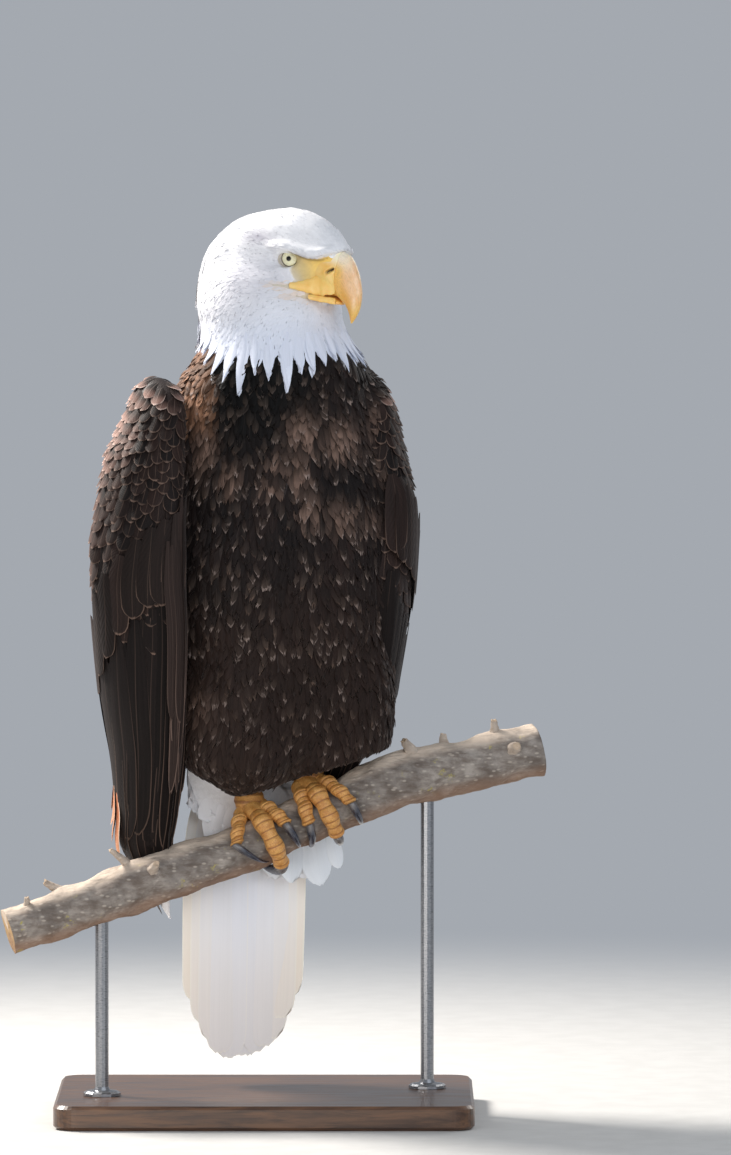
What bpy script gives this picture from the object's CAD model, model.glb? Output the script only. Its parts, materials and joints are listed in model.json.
# Bald eagle, life size, perched on a cut length of branch that two rods hold over a flat base.
# Shapes are worked out in millimetres in the row frame (+Z up, the branch along +X, the breast towards -Y) and
# turned into metres when a mesh is made. The bird frame is turned by BODY_TURN about +Z, and the head by
# HEAD_TURN more.
import math

import bmesh
import bpy
import numpy as np
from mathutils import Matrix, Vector
from mathutils.bvhtree import BVHTree
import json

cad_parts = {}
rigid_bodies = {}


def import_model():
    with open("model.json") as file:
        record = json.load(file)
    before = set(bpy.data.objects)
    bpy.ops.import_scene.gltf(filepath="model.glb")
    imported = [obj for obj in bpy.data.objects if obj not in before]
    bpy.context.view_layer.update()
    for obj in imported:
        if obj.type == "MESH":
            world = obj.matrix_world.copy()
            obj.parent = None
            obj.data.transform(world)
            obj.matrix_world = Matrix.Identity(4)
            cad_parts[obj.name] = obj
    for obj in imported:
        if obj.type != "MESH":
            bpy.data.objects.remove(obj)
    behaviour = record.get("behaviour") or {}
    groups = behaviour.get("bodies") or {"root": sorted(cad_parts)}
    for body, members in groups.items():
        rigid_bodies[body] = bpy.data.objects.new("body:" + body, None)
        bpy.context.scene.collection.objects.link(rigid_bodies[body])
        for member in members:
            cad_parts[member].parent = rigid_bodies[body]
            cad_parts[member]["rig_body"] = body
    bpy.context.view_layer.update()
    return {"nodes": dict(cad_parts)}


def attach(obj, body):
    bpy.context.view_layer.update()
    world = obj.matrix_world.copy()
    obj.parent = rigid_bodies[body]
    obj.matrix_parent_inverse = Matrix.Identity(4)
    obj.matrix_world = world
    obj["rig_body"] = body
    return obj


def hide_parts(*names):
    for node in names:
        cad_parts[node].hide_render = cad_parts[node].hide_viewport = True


MM = 0.001
BODY_TURN = math.radians(25)
HEAD_TURN = math.radians(27)
HEAD_SEAT = np.array([-3.0, -14.0, 779.0])
HOOD_EDGE = 674
SIDES = {"right": -1, "left": 1}

FLESH = ["head", "neck", "trunk", "thigh_right", "thigh_left", "tail_coverts"]
for _side in SIDES:
    FLESH += [f"wing_{_side}_coverts", f"wing_{_side}_primaries", f"wing_{_side}_secondaries"]


# ---- Numbers -------------------------------------------------------------------------------------------------


def between(stations):
    """Smooth values between rows [at, a, b, ...], with no overshoot."""
    table = np.array(stations, float)
    at, values = table[:, 0], table[:, 1:]
    slopes = np.diff(values, axis=0) / np.diff(at)[:, None]
    tangents = np.vstack([slopes[:1], np.zeros_like(slopes[1:]), slopes[-1:]])
    same = slopes[:-1] * slopes[1:] > 0
    both = np.where(same, slopes[:-1] + slopes[1:], 1)
    tangents[1:-1] = np.where(same, 2 * slopes[:-1] * slopes[1:] / both, 0)

    def value(u):
        u = np.clip(np.asarray(u, float), at[0], at[-1])
        i = np.clip(np.searchsorted(at, u, side="right") - 1, 0, len(at) - 2)
        step = (at[i + 1] - at[i])[..., None]
        t = (u - at[i])[..., None] / step
        rise = t * t * (3 - 2 * t)
        start = t * (1 - t) ** 2 * step * tangents[i]
        end = t * t * (1 - t) * step * tangents[i + 1]
        return values[i] * (1 - rise) + values[i + 1] * rise + start - end

    return value


def ease(value, low, high):
    t = np.clip((np.asarray(value, float) - low) / (high - low), 0, 1)
    return t * t * (3 - 2 * t)


def turned(points, angle):
    """Points turned about +Z."""
    points = np.asarray(points, float)
    c, s = math.cos(angle), math.sin(angle)
    x, y = points[..., 0], points[..., 1]
    return np.stack([c * x - s * y, s * x + c * y, points[..., 2]], -1)


def from_bird(points):
    return turned(points, BODY_TURN)


def to_bird(points):
    return turned(points, -BODY_TURN)


def from_head(front, left, up):
    """A place in the row frame, given how far in front of the skull's middle, to its left and above it lies."""
    front, left, up = np.broadcast_arrays(*(np.asarray(v, float) for v in (front, left, up)))
    return from_bird(turned(np.stack([left, -front, up], -1), HEAD_TURN) + HEAD_SEAT)


def to_head(points):
    """Front, left and up in the head, of places in the row frame."""
    p = turned(to_bird(points) - HEAD_SEAT, -HEAD_TURN)
    return np.stack([-p[..., 1], p[..., 0], p[..., 2]], -1)


def unit(v):
    return v / np.maximum(np.linalg.norm(v, axis=-1, keepdims=True), 1e-9)


def dot(a, b):
    return (a * b).sum(-1, keepdims=True)


def lattice(seed):
    """Smooth noise from -1 to 1 at places, over cells of a given size."""
    table = np.random.default_rng(seed).uniform(-1, 1, (32, 32, 32))

    def noise(points, cell):
        p = np.asarray(points, float) / cell
        base = np.floor(p).astype(int)
        f = p - base
        f = f * f * (3 - 2 * f)
        total = 0
        for dx in (0, 1):
            for dy in (0, 1):
                for dz in (0, 1):
                    corner = table[(base[..., 0] + dx) % 32, (base[..., 1] + dy) % 32, (base[..., 2] + dz) % 32]
                    share = np.abs(1 - dx - f[..., 0]) * np.abs(1 - dy - f[..., 1]) * np.abs(1 - dz - f[..., 2])
                    total = total + corner * share
        return total

    return noise


noise = lattice(11)


# ---- Meshes --------------------------------------------------------------------------------------------------


def sheet_faces(rows, columns, closed=False, start=0):
    """Quads of a sheet of rows by columns of vertices; closed joins the last column to the first."""
    r, c = np.meshgrid(np.arange(rows - 1), np.arange(columns if closed else columns - 1), indexing="ij")
    a = r * columns + c
    b = r * columns + (c + 1) % columns
    return (np.stack([a, b, b + columns, a + columns], -1).reshape(-1, 4)) + start


def make(name, points, faces, material, numbers=None, colours=None, uv=None, smooth=True):
    """A mesh object from places in millimetres. Faces are rows of four vertices, or of three."""
    mesh = bpy.data.meshes.new(name)
    points = np.asarray(points, float).reshape(-1, 3)
    groups = faces if isinstance(faces, list) else [faces]
    corners = np.concatenate([g.ravel() for g in groups])
    sizes = np.concatenate([np.full(len(g), g.shape[1]) for g in groups])
    mesh.vertices.add(len(points))
    mesh.vertices.foreach_set("co", (points * MM).astype(np.float32).ravel())
    mesh.loops.add(len(corners))
    mesh.loops.foreach_set("vertex_index", corners.astype(np.int32))
    mesh.polygons.add(len(sizes))
    mesh.polygons.foreach_set("loop_start", (np.cumsum(sizes) - sizes).astype(np.int32))
    mesh.update(calc_edges=True)
    mesh.validate()
    mesh.polygons.foreach_set("use_smooth", np.full(len(mesh.polygons), smooth))
    for key, values in (numbers or {}).items():
        mesh.attributes.new(key, "FLOAT", "POINT").data.foreach_set("value", np.ravel(values).astype(np.float32))
    for key, values in (colours or {}).items():
        full = np.ones((len(points), 4), np.float32)
        full[:, :3] = np.asarray(values).reshape(-1, 3)
        mesh.attributes.new(key, "FLOAT_COLOR", "POINT").data.foreach_set("color", full.ravel())
    if uv is not None:
        layer = mesh.uv_layers.new(name="OFBake")
        layer.data.foreach_set("uv", np.asarray(uv).reshape(-1, 2)[corners].astype(np.float32).ravel())
    mesh.materials.append(material)
    made = bpy.data.objects.new(name, mesh)
    bpy.context.scene.collection.objects.link(made)
    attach(made, "root")
    return made


def capped(points, rows, columns, start=0):
    """Faces of a closed tube whose two ends are closed by fans round added middle points."""
    rings = points.reshape(rows, columns, 3)
    both = np.concatenate([points.reshape(-1, 3), rings[:1].mean(1), rings[-1:].mean(1)])
    ring = np.arange(columns)
    following = (ring + 1) % columns
    first = np.stack([np.full(columns, rows * columns), following, ring], -1)
    last_row = (rows - 1) * columns
    last = np.stack([np.full(columns, rows * columns + 1), last_row + ring, last_row + following], -1)
    return both, [sheet_faces(rows, columns, True) + start, np.concatenate([first, last]) + start]


class Joined:
    """Several bodies gathered into one mesh."""

    def __init__(self):
        self.points, self.quads, self.triangles, self.numbers, self.count = [], [], [], {}, 0

    def tube(self, rings, **numbers):
        rows, columns = rings.shape[:2]
        points, (quads, triangles) = capped(rings.reshape(-1, 3), rows, columns, self.count)
        self.points.append(points)
        self.quads.append(quads)
        self.triangles.append(triangles)
        for key, values in numbers.items():
            values = np.broadcast_to(values, (rows, columns)).reshape(-1)
            ends = [values[:columns].mean(), values[-columns:].mean()]
            self.numbers.setdefault(key, []).append(np.concatenate([values, ends]))
        self.count += len(points)

    def make(self, name, material):
        numbers = {key: np.concatenate(values) for key, values in self.numbers.items()}
        faces = [np.concatenate(self.quads), np.concatenate(self.triangles)]
        return make(name, np.concatenate(self.points), faces, material, numbers)


# ---- Materials -----------------------------------------------------------------------------------------------


class Paint:
    """A node material, with short helpers."""

    def __init__(self, name, **sockets):
        self.material = bpy.data.materials.new(name)
        self.material.use_nodes = True
        self.tree = self.material.node_tree
        self.shader = self.tree.nodes["Principled BSDF"]
        for key, value in sockets.items():
            self.shader.inputs[key.replace("_", " ")].default_value = value

    def node(self, kind, inputs=None, **settings):
        made = self.tree.nodes.new("ShaderNode" + kind)
        for key, value in settings.items():
            setattr(made, key, value)
        for key, value in (inputs or {}).items():
            self.put(made.inputs[key], value)
        return made

    def put(self, socket, value):
        if isinstance(value, bpy.types.NodeSocket):
            self.tree.links.new(value, socket)
        else:
            socket.default_value = value

    def number(self, name):
        return self.node("Attribute", attribute_name=name).outputs["Fac"]

    def colour(self, name):
        return self.node("Attribute", attribute_name=name).outputs["Color"]

    def math(self, operation, *values):
        made = self.node("Math", operation=operation)
        for socket, value in zip(made.inputs, values):
            self.put(socket, value)
        return made.outputs[0]

    def mix(self, share, a, b, blend="MIX"):
        made = self.node("Mix", data_type="RGBA", blend_type=blend)
        for socket, value in zip((made.inputs["Factor"], made.inputs[6], made.inputs[7]), (share, a, b)):
            self.put(socket, value)
        return made.outputs[2]

    def remap(self, value, low, high, to_low=0.0, to_high=1.0):
        made = self.node("MapRange", {"Value": value}, interpolation_type="SMOOTHSTEP")
        for key, number in zip(("From Min", "From Max", "To Min", "To Max"), (low, high, to_low, to_high)):
            made.inputs[key].default_value = number
        return made.outputs[0]

    def place(self, stretch=(1, 1, 1)):
        """Places in the row frame, in metres, stretched."""
        where = self.node("TexCoord").outputs["Object"]
        return self.node("Mapping", {"Vector": where, "Scale": stretch}).outputs[0]

    def noise(self, scale, detail=3.0, roughness=0.55, where=None, distortion=0.0):
        inputs = {"Scale": scale, "Detail": detail, "Roughness": roughness, "Distortion": distortion}
        inputs["Vector"] = self.place() if where is None else where
        return self.node("TexNoise", inputs).outputs["Fac"]

    def cells(self, scale, where=None, feature="F1", output="Distance", randomness=1.0):
        inputs = {"Scale": scale, "Randomness": randomness, "Vector": self.place() if where is None else where}
        return self.node("TexVoronoi", inputs, feature=feature).outputs[output]

    def finish(self, colour, roughness=None, height=None, strength=0.4, distance=0.001):
        self.put(self.shader.inputs["Base Color"], colour)
        if roughness is not None:
            self.put(self.shader.inputs["Roughness"], roughness)
        if height is not None:
            inputs = {"Height": height, "Strength": strength, "Distance": distance}
            self.put(self.shader.inputs["Normal"], self.node("Bump", inputs).outputs[0])
        return self.material


def rgb(r, g, b):
    """A linear colour from 0 to 255 display values."""
    c = np.array([r, g, b]) / 255
    return np.where(c > 0.04045, ((c + 0.055) / 1.055) ** 2.4, c / 12.92)


def rgba(r, g, b):
    return (*rgb(r, g, b), 1.0)


def feather_paint(name, roughness, gloss, barbs, streaks, relief=0.3, soft=0.0):
    """Vanes: their own tone, a trim along the edge and tip, a shaft, and fine barbs as bump."""
    p = Paint(
        name, Specular_IOR_Level=gloss, Sheen_Weight=0.08, Sheen_Roughness=0.4, Sheen_Tint=(1.0, 0.88, 0.84, 1.0),
        Subsurface_Weight=soft, Subsurface_Scale=0.006, Subsurface_Radius=(1.0, 0.9, 0.85),
    )
    along, across = p.number("along"), p.number("across")
    side = p.math("ABSOLUTE", across)
    from_side = p.math("ADD", p.number("from_side"), p.math("MULTIPLY", p.number("edge_fade"), p.number("from_tip")))
    rim = p.math("MAXIMUM", p.remap(from_side, 1.9, 0.4), p.remap(p.number("from_tip"), 2.8, 0.6))
    edge = p.math("MULTIPLY", rim, p.number("edge"))
    colour = p.mix(edge, p.colour("tone"), p.colour("trim"))
    shaft = p.math("MULTIPLY", p.remap(side, 0.07, 0.0), p.number("shaft"))
    colour = p.mix(shaft, colour, p.colour("trim"))
    streak = p.noise(1.0, 3.0, 0.6, p.node("CombineXYZ", {0: p.math("MULTIPLY", across, 7.0), 1: p.math("MULTIPLY", along, 1.6), 2: p.math("MULTIPLY", p.number("chance"), 90.0)}).outputs[0])
    colour = p.mix(1.0, colour, p.remap(streak, 0.3, 0.72, 1 - streaks, 1 + 0.5 * streaks), "MULTIPLY")
    barb = p.math("ADD", p.math("MULTIPLY", along, barbs), p.math("MULTIPLY", side, -barbs * 0.3))
    wave = p.math("SINE", p.math("ADD", barb, p.math("MULTIPLY", p.number("chance"), 40.0)))
    height = p.math("ADD", p.math("MULTIPLY", wave, 0.35), streak)
    return p.finish(colour, roughness, height, relief, 0.0006)


# ---- The skin ------------------------------------------------------------------------------------------------

VOXEL = 2.6
# How far the skin lies inside each piece: the depth of its feathers.
COAT_DEPTH = {"head": 0.8, "neck": 3.0, "trunk": 4.5, "thigh": 4.0, "tail_coverts": 3.0, "coverts": 3.0}
FLIGHT_DEPTH = 1.2


class Surface:
    """A closed surface that can be sampled and walked along."""

    def __init__(self, points, triangles):
        self.points, self.triangles = points, triangles
        self.tree = BVHTree.FromPolygons(points.tolist(), triangles.tolist())
        a, b, c = (points[triangles[:, k]] for k in range(3))
        cross = np.cross(b - a, c - a)
        self.areas = np.linalg.norm(cross, axis=1) / 2
        self.normals = unit(cross)

    def nearest(self, place):
        where, normal, face, _ = self.tree.find_nearest(Vector(place))
        return np.array(where), np.array(normal), face

    def scatter(self, count, seed, keep=None):
        """Evenly likely places on the surface, with the normals there."""
        rng = np.random.default_rng(seed)
        areas = self.areas if keep is None else self.areas * keep
        picked = rng.choice(len(areas), count, p=areas / areas.sum())
        u, v = rng.random((2, count, 1))
        flip = u + v > 1
        u, v = np.where(flip, 1 - u, u), np.where(flip, 1 - v, v)
        a, b, c = (self.points[self.triangles[picked, k]] for k in range(3))
        return a + u * (b - a) + v * (c - a), self.normals[picked]


def node_arrays(names):
    """Vertices in millimetres, triangles, and the name's index for each triangle, of CAD nodes."""
    points, triangles, owners, start = [], [], [], 0
    for index, name in enumerate(names):
        mesh = frame["nodes"][name].data
        co = np.empty(len(mesh.vertices) * 3, np.float32)
        mesh.vertices.foreach_get("co", co)
        mesh.calc_loop_triangles()
        tri = np.empty(len(mesh.loop_triangles) * 3, np.int32)
        mesh.loop_triangles.foreach_get("vertices", tri)
        points.append(co.reshape(-1, 3) / MM)
        triangles.append(tri.reshape(-1, 3) + start)
        owners.append(np.full(len(triangles[-1]), index))
        start += len(points[-1])
    return np.concatenate(points), np.concatenate(triangles), np.concatenate(owners)


def smoothed(values, edges, rounds, share):
    """Values at vertices, each moved towards the mean of its neighbours."""
    ends = np.concatenate([edges, edges[:, ::-1]])
    count = np.maximum(np.bincount(ends[:, 0], minlength=len(values)), 1)
    values = values.reshape(len(values), -1).copy()
    for _ in range(rounds):
        for k in range(values.shape[1]):
            total = np.bincount(ends[:, 0], values[ends[:, 1], k], minlength=len(values))
            values[:, k] += share[..., 0] * (total / count - values[:, k])
    return values


def depth_of(name):
    for key, depth in COAT_DEPTH.items():
        if key in name:
            return depth
    return FLIGHT_DEPTH


def refine_face(body):
    """Splits the face's edges in two, so that the brow and the bare skin can be shaped."""
    work = bmesh.new()
    work.from_mesh(body)
    places = np.array([v.co[:] for v in work.verts]) / MM
    head = to_head(places)
    chosen = (head[:, 0] > 26) & (head[:, 2] > -44) & (head[:, 2] < 30) & (places[:, 2] > 720)
    work.verts.index_update()
    edges = [e for e in work.edges if chosen[e.verts[0].index] and chosen[e.verts[1].index]]
    bmesh.ops.subdivide_edges(work, edges=edges, cuts=1, use_grid_fill=True)
    bmesh.ops.triangulate(work, faces=work.faces[:])
    work.to_mesh(body)
    work.free()


def face_relief(points):
    """How far the face stands out: the brow's shelf over the eye and the bare skin, and their hollow."""
    front, left, up = to_head(points).T
    beside = ease(np.abs(left), 8, 16)
    edge = LORES(front)[:, 1]
    reach = ease(front, 22, 40) * (1 - ease(front, 84, 94)) * beside
    shelf = 2.0 * np.exp(-(((up - edge - 4.2) / 3.6) ** 2)) * reach
    hollow = -(1.2 + 2.6 * ease(front, 64, 76)) * lores(points)
    cheek = 1.2 * np.exp(-(((front - 34) / 14) ** 2) - ((up + 20) / 12) ** 2) * beside
    return shelf + hollow + cheek


def skin_shape():
    """One body through all the feathered pieces, smooth, inside them by the coat's depth."""
    points, triangles, owners = node_arrays(FLESH)
    mesh = bpy.data.meshes.new("flesh")
    mesh.from_pydata((points * MM).tolist(), [], triangles.tolist())
    made = bpy.data.objects.new("flesh", mesh)
    bpy.context.scene.collection.objects.link(made)
    remesh = made.modifiers.new("one_body", "REMESH")
    remesh.mode = "VOXEL"
    remesh.voxel_size = VOXEL * MM
    evaluated = made.evaluated_get(bpy.context.evaluated_depsgraph_get())
    body = bpy.data.meshes.new_from_object(evaluated)
    bpy.data.objects.remove(made)
    refine_face(body)
    co = np.empty(len(body.vertices) * 3, np.float32)
    body.vertices.foreach_get("co", co)
    co = co.reshape(-1, 3) / MM
    edges = np.empty(len(body.edges) * 2, np.int32)
    body.edges.foreach_get("vertices", edges)
    edges = edges.reshape(-1, 2)
    body.calc_loop_triangles()
    tri = np.empty(len(body.loop_triangles) * 3, np.int32)
    body.loop_triangles.foreach_get("vertices", tri)
    tri = tri.reshape(-1, 3)

    source = BVHTree.FromPolygons(points.tolist(), triangles.tolist())
    depths = [depth_of(name) for name in FLESH]
    depth = np.array([depths[owners[source.find_nearest(Vector(p))[2]]] for p in co])
    front, left, up = to_head(co).T
    face = ease(front, 20, 45) * ease(co[:, 2], 725, 745)
    softness = 1 - 0.75 * face
    for _ in range(14):
        co = smoothed(co, edges, 1, 0.62 * softness[:, None])
        co = smoothed(co, edges, 1, -0.58 * softness[:, None])
        co = smoothed(co, edges, 1, 0.5 * softness[:, None])
    depth = smoothed(depth * (1 - 0.6 * face), edges, 12, np.full((len(co), 1), 0.5))[:, 0]
    normals = np.zeros_like(co)
    flat = np.cross(co[tri[:, 1]] - co[tri[:, 0]], co[tri[:, 2]] - co[tri[:, 0]])
    for k in range(3):
        for corner in range(3):
            normals[:, k] += np.bincount(tri[:, corner], flat[:, k], minlength=len(co))
    co = co + unit(normals) * (face_relief(co) - depth)[:, None]
    return co, tri


# The bare skin between the eye and the bill, by distance in front of the skull's middle: its lower and upper edge.
LORES = between([
    [20, 0, 12], [34, -2, 12], [44, -3, 11.5], [48, -8, 11], [52, -15, 9.6], [56, -19, 8.2], [60, -22, 6.8],
    [66, -27, 4.8], [72, -32, 4.2], [78, -34, 6], [86, -35, 9.5], [94, -35, 12],
])


def lores(points):
    """1 on the bare skin between the eye and the bill."""
    front, left, up = to_head(points).T
    lower, upper = np.moveaxis(LORES(front), -1, 0)
    inside = ease(up, lower - 1.5, lower + 1.5) * (1 - ease(up, upper - 1.2, upper + 1.2))
    return inside * ease(front, 46.5, 50) * np.maximum(ease(np.abs(left), 8, 11), ease(front, 84, 86))


# Points of the hood's edge: angle round the body from its front in degrees, and the tip's height.
TEETH = np.array([
    [-172, 703], [-157, 697], [-142, 702], [-128, 696], [-115, 703], [-102, 696], [-90, 696], [-80, 686],
    [-69, 677], [-59, 672], [-49, 662], [-39, 680], [-30, 675], [-17, 663], [-8, 680], [1, 679], [11, 687],
    [21, 690], [31, 681], [44, 687], [55, 682], [66, 691], [78, 688], [90, 697], [103, 691], [116, 700],
    [130, 694], [145, 702], [160, 695], [174, 704],
])


def hood_line(points):
    """The hood's toothed edge at each place: its height, the height between the teeth, the nearest tooth's number
    and the angle to it."""
    bird = to_bird(points)
    angle = np.degrees(np.arctan2(bird[:, 0] - 3, -(bird[:, 1] + 20)))
    gap = (TEETH[None, :, 0] - angle[:, None] + 180) % 360 - 180
    near = np.abs(gap).argmin(1)
    toward = gap[np.arange(len(near)), near]
    spacing = np.abs(np.sort(np.abs(gap), 1)[:, :2]).sum(1)
    share = np.clip(np.abs(toward) / (0.5 * spacing), 0, 1)
    valley = 699 + 9 * ease(np.abs(angle), 45, 95)
    tip = TEETH[near, 1]
    return tip + (valley - tip) * share**1.05, valley, near, toward


def hood(points):
    """1 where the plumage is white on the head and neck, 0 below the hood's edge."""
    line = hood_line(points)[0]
    return ease(points[:, 2], line, line + 4)


WHITE = rgb(243, 243, 246)
LORE = rgb(204, 184, 136)
LORE_FRONT = rgb(244, 204, 108)
DARK = rgb(36, 25, 22)
BLACKISH = rgb(8, 6, 7)


def build_skin():
    points, triangles = skin_shape()
    owner_points, owner_triangles, owners = node_arrays(FLESH)
    vent = hood(points)
    bird = to_bird(points)
    white_tail = ease(-points[:, 2], -352, -338) * ease(bird[:, 1], 12, 24) * (np.abs(bird[:, 0]) < 84)
    white = np.clip(vent + white_tail, 0, 1)[:, None]
    bare = lores(points)[:, None]
    by_bill = ease(to_head(points)[:, 0], 79, 83) * (np.abs(points[:, 2] - 757) < 26)
    mouth = ease(by_gape(points), -2.6, -0.4)
    bare = np.maximum(bare, np.maximum(by_bill, mouth)[:, None])
    tone = DARK * (1 - white) + WHITE * white
    front, left, up = to_head(points).T
    to_bill = ease(front, 52, 74)[:, None]
    lore = LORE * (1 - to_bill) + LORE_FRONT * to_bill
    rear = 0.75 * (1 - ease(front + 0.5 * up, 40, 54))[:, None]
    lore = lore * (1 - rear) + rgb(214, 207, 196) * rear
    crease = np.exp(-(((up - LORES(front)[:, 1] + 1.4) / 1.3) ** 2)) * (1 - ease(front, 70, 84))
    lore = lore * (1 - 0.6 * crease[:, None])
    tone = tone * (1 - bare) + lore * bare
    p = Paint("skin", Specular_IOR_Level=0.3)
    mottled = p.noise(260.0, 4.0)
    colour = p.mix(1.0, p.colour("tone"), p.remap(mottled, 0.3, 0.7, 0.93, 1.03), "MULTIPLY")
    wrinkles = p.math("ADD", mottled, p.cells(900.0))
    material = p.finish(colour, p.remap(mottled, 0.3, 0.7, 0.5, 0.62), wrinkles, 0.35, 0.0005)
    made = make("skin", points, triangles, material, colours={"tone": tone})
    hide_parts(*FLESH)
    surface = Surface(points, triangles)
    surface.owner_tree = BVHTree.FromPolygons(owner_points.tolist(), owner_triangles.tolist())
    surface.owners = owners
    return surface


# ---- Feathers ------------------------------------------------------------------------------------------------

PATCH = 0.003  # each feather's share of its coat's map


def spaced(places, normals, radius):
    """Indices of places no nearer to each other than radius, which is a number for each place."""
    cell = float(radius.max())
    chosen, table = [], {}
    keys = np.floor(places / cell).astype(int)
    around = [(x, y, z) for x in (-1, 0, 1) for y in (-1, 0, 1) for z in (-1, 0, 1)]
    for i in range(len(places)):
        x, y, z = keys[i]
        px, py, pz = places[i]
        limit = radius[i] ** 2
        clear = True
        for dx, dy, dz in around:
            for qx, qy, qz in table.get((x + dx, y + dy, z + dz), ()):
                if (px - qx) ** 2 + (py - qy) ** 2 + (pz - qz) ** 2 < limit:
                    clear = False
                    break
            if not clear:
                break
        if clear:
            table.setdefault((x, y, z), []).append((px, py, pz))
            chosen.append(i)
    return np.array(chosen)


def flow(points):
    """The way feathers point: back from the bill over the head, then down the body."""
    head = to_head(points)
    from_bill = head - np.array([92.0, 0.0, -8.0])
    away = np.linalg.norm(from_bill, axis=1, keepdims=True)
    back = unit(from_bill)
    back_row = unit(from_head(*(back * 10).T) - from_head(0, 0, 0))
    down = np.broadcast_to([0.0, 0.0, -1.0], back_row.shape)
    fall = ease(away, 60, 175)
    return unit(back_row * (1 - fall) + down * fall)


def walk(surface, roots, normals, aims, lengths, rows):
    """Centre-lines along the surface: places and normals, each of feathers by rows + 1 by 3."""
    count = len(roots)
    lines, ups = np.empty((count, rows + 1, 3)), np.empty((count, rows + 1, 3))
    find = surface.tree.find_nearest
    place, up = roots.copy(), normals.copy()
    aim = unit(aims - dot(aims, up) * up)
    lines[:, 0], ups[:, 0] = place, up
    for row in range(1, rows + 1):
        ahead = place + aim * (lengths / rows)[:, None]
        for i in range(count):
            found = find(Vector(ahead[i]))
            ahead[i] = found[0]
            up[i] = 0.5 * up[i] + 0.5 * np.array(found[1])
        up = unit(up)
        aim = unit(0.75 * aim + 0.25 * unit(ahead - place))
        aim = unit(aim - dot(aim, up) * up)
        place = ahead
        lines[:, row], ups[:, row] = place, up
    return lines, ups


SHAPES = {
    # along the vane: half-width as a share of the widest
    "round": [[0, 0.35], [0.15, 0.7], [0.45, 1.0], [0.7, 0.97], [0.86, 0.75], [0.95, 0.45], [1, 0.12]],
    "blunt": [[0, 0.4], [0.2, 0.8], [0.5, 1.0], [0.75, 0.86], [0.9, 0.55], [1, 0.2]],
    "point": [[0, 0.45], [0.2, 0.85], [0.4, 1.0], [0.65, 0.78], [0.85, 0.4], [1, 0.06]],
    "broad": [[0, 0.3], [0.1, 0.6], [0.3, 0.9], [0.6, 1.0], [0.91, 1.0], [0.97, 0.82], [1, 0.35]],
    "long": [[0, 0.3], [0.1, 0.6], [0.3, 0.9], [0.6, 1.0], [0.85, 0.95], [0.95, 0.66], [1, 0.16]],
}


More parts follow.
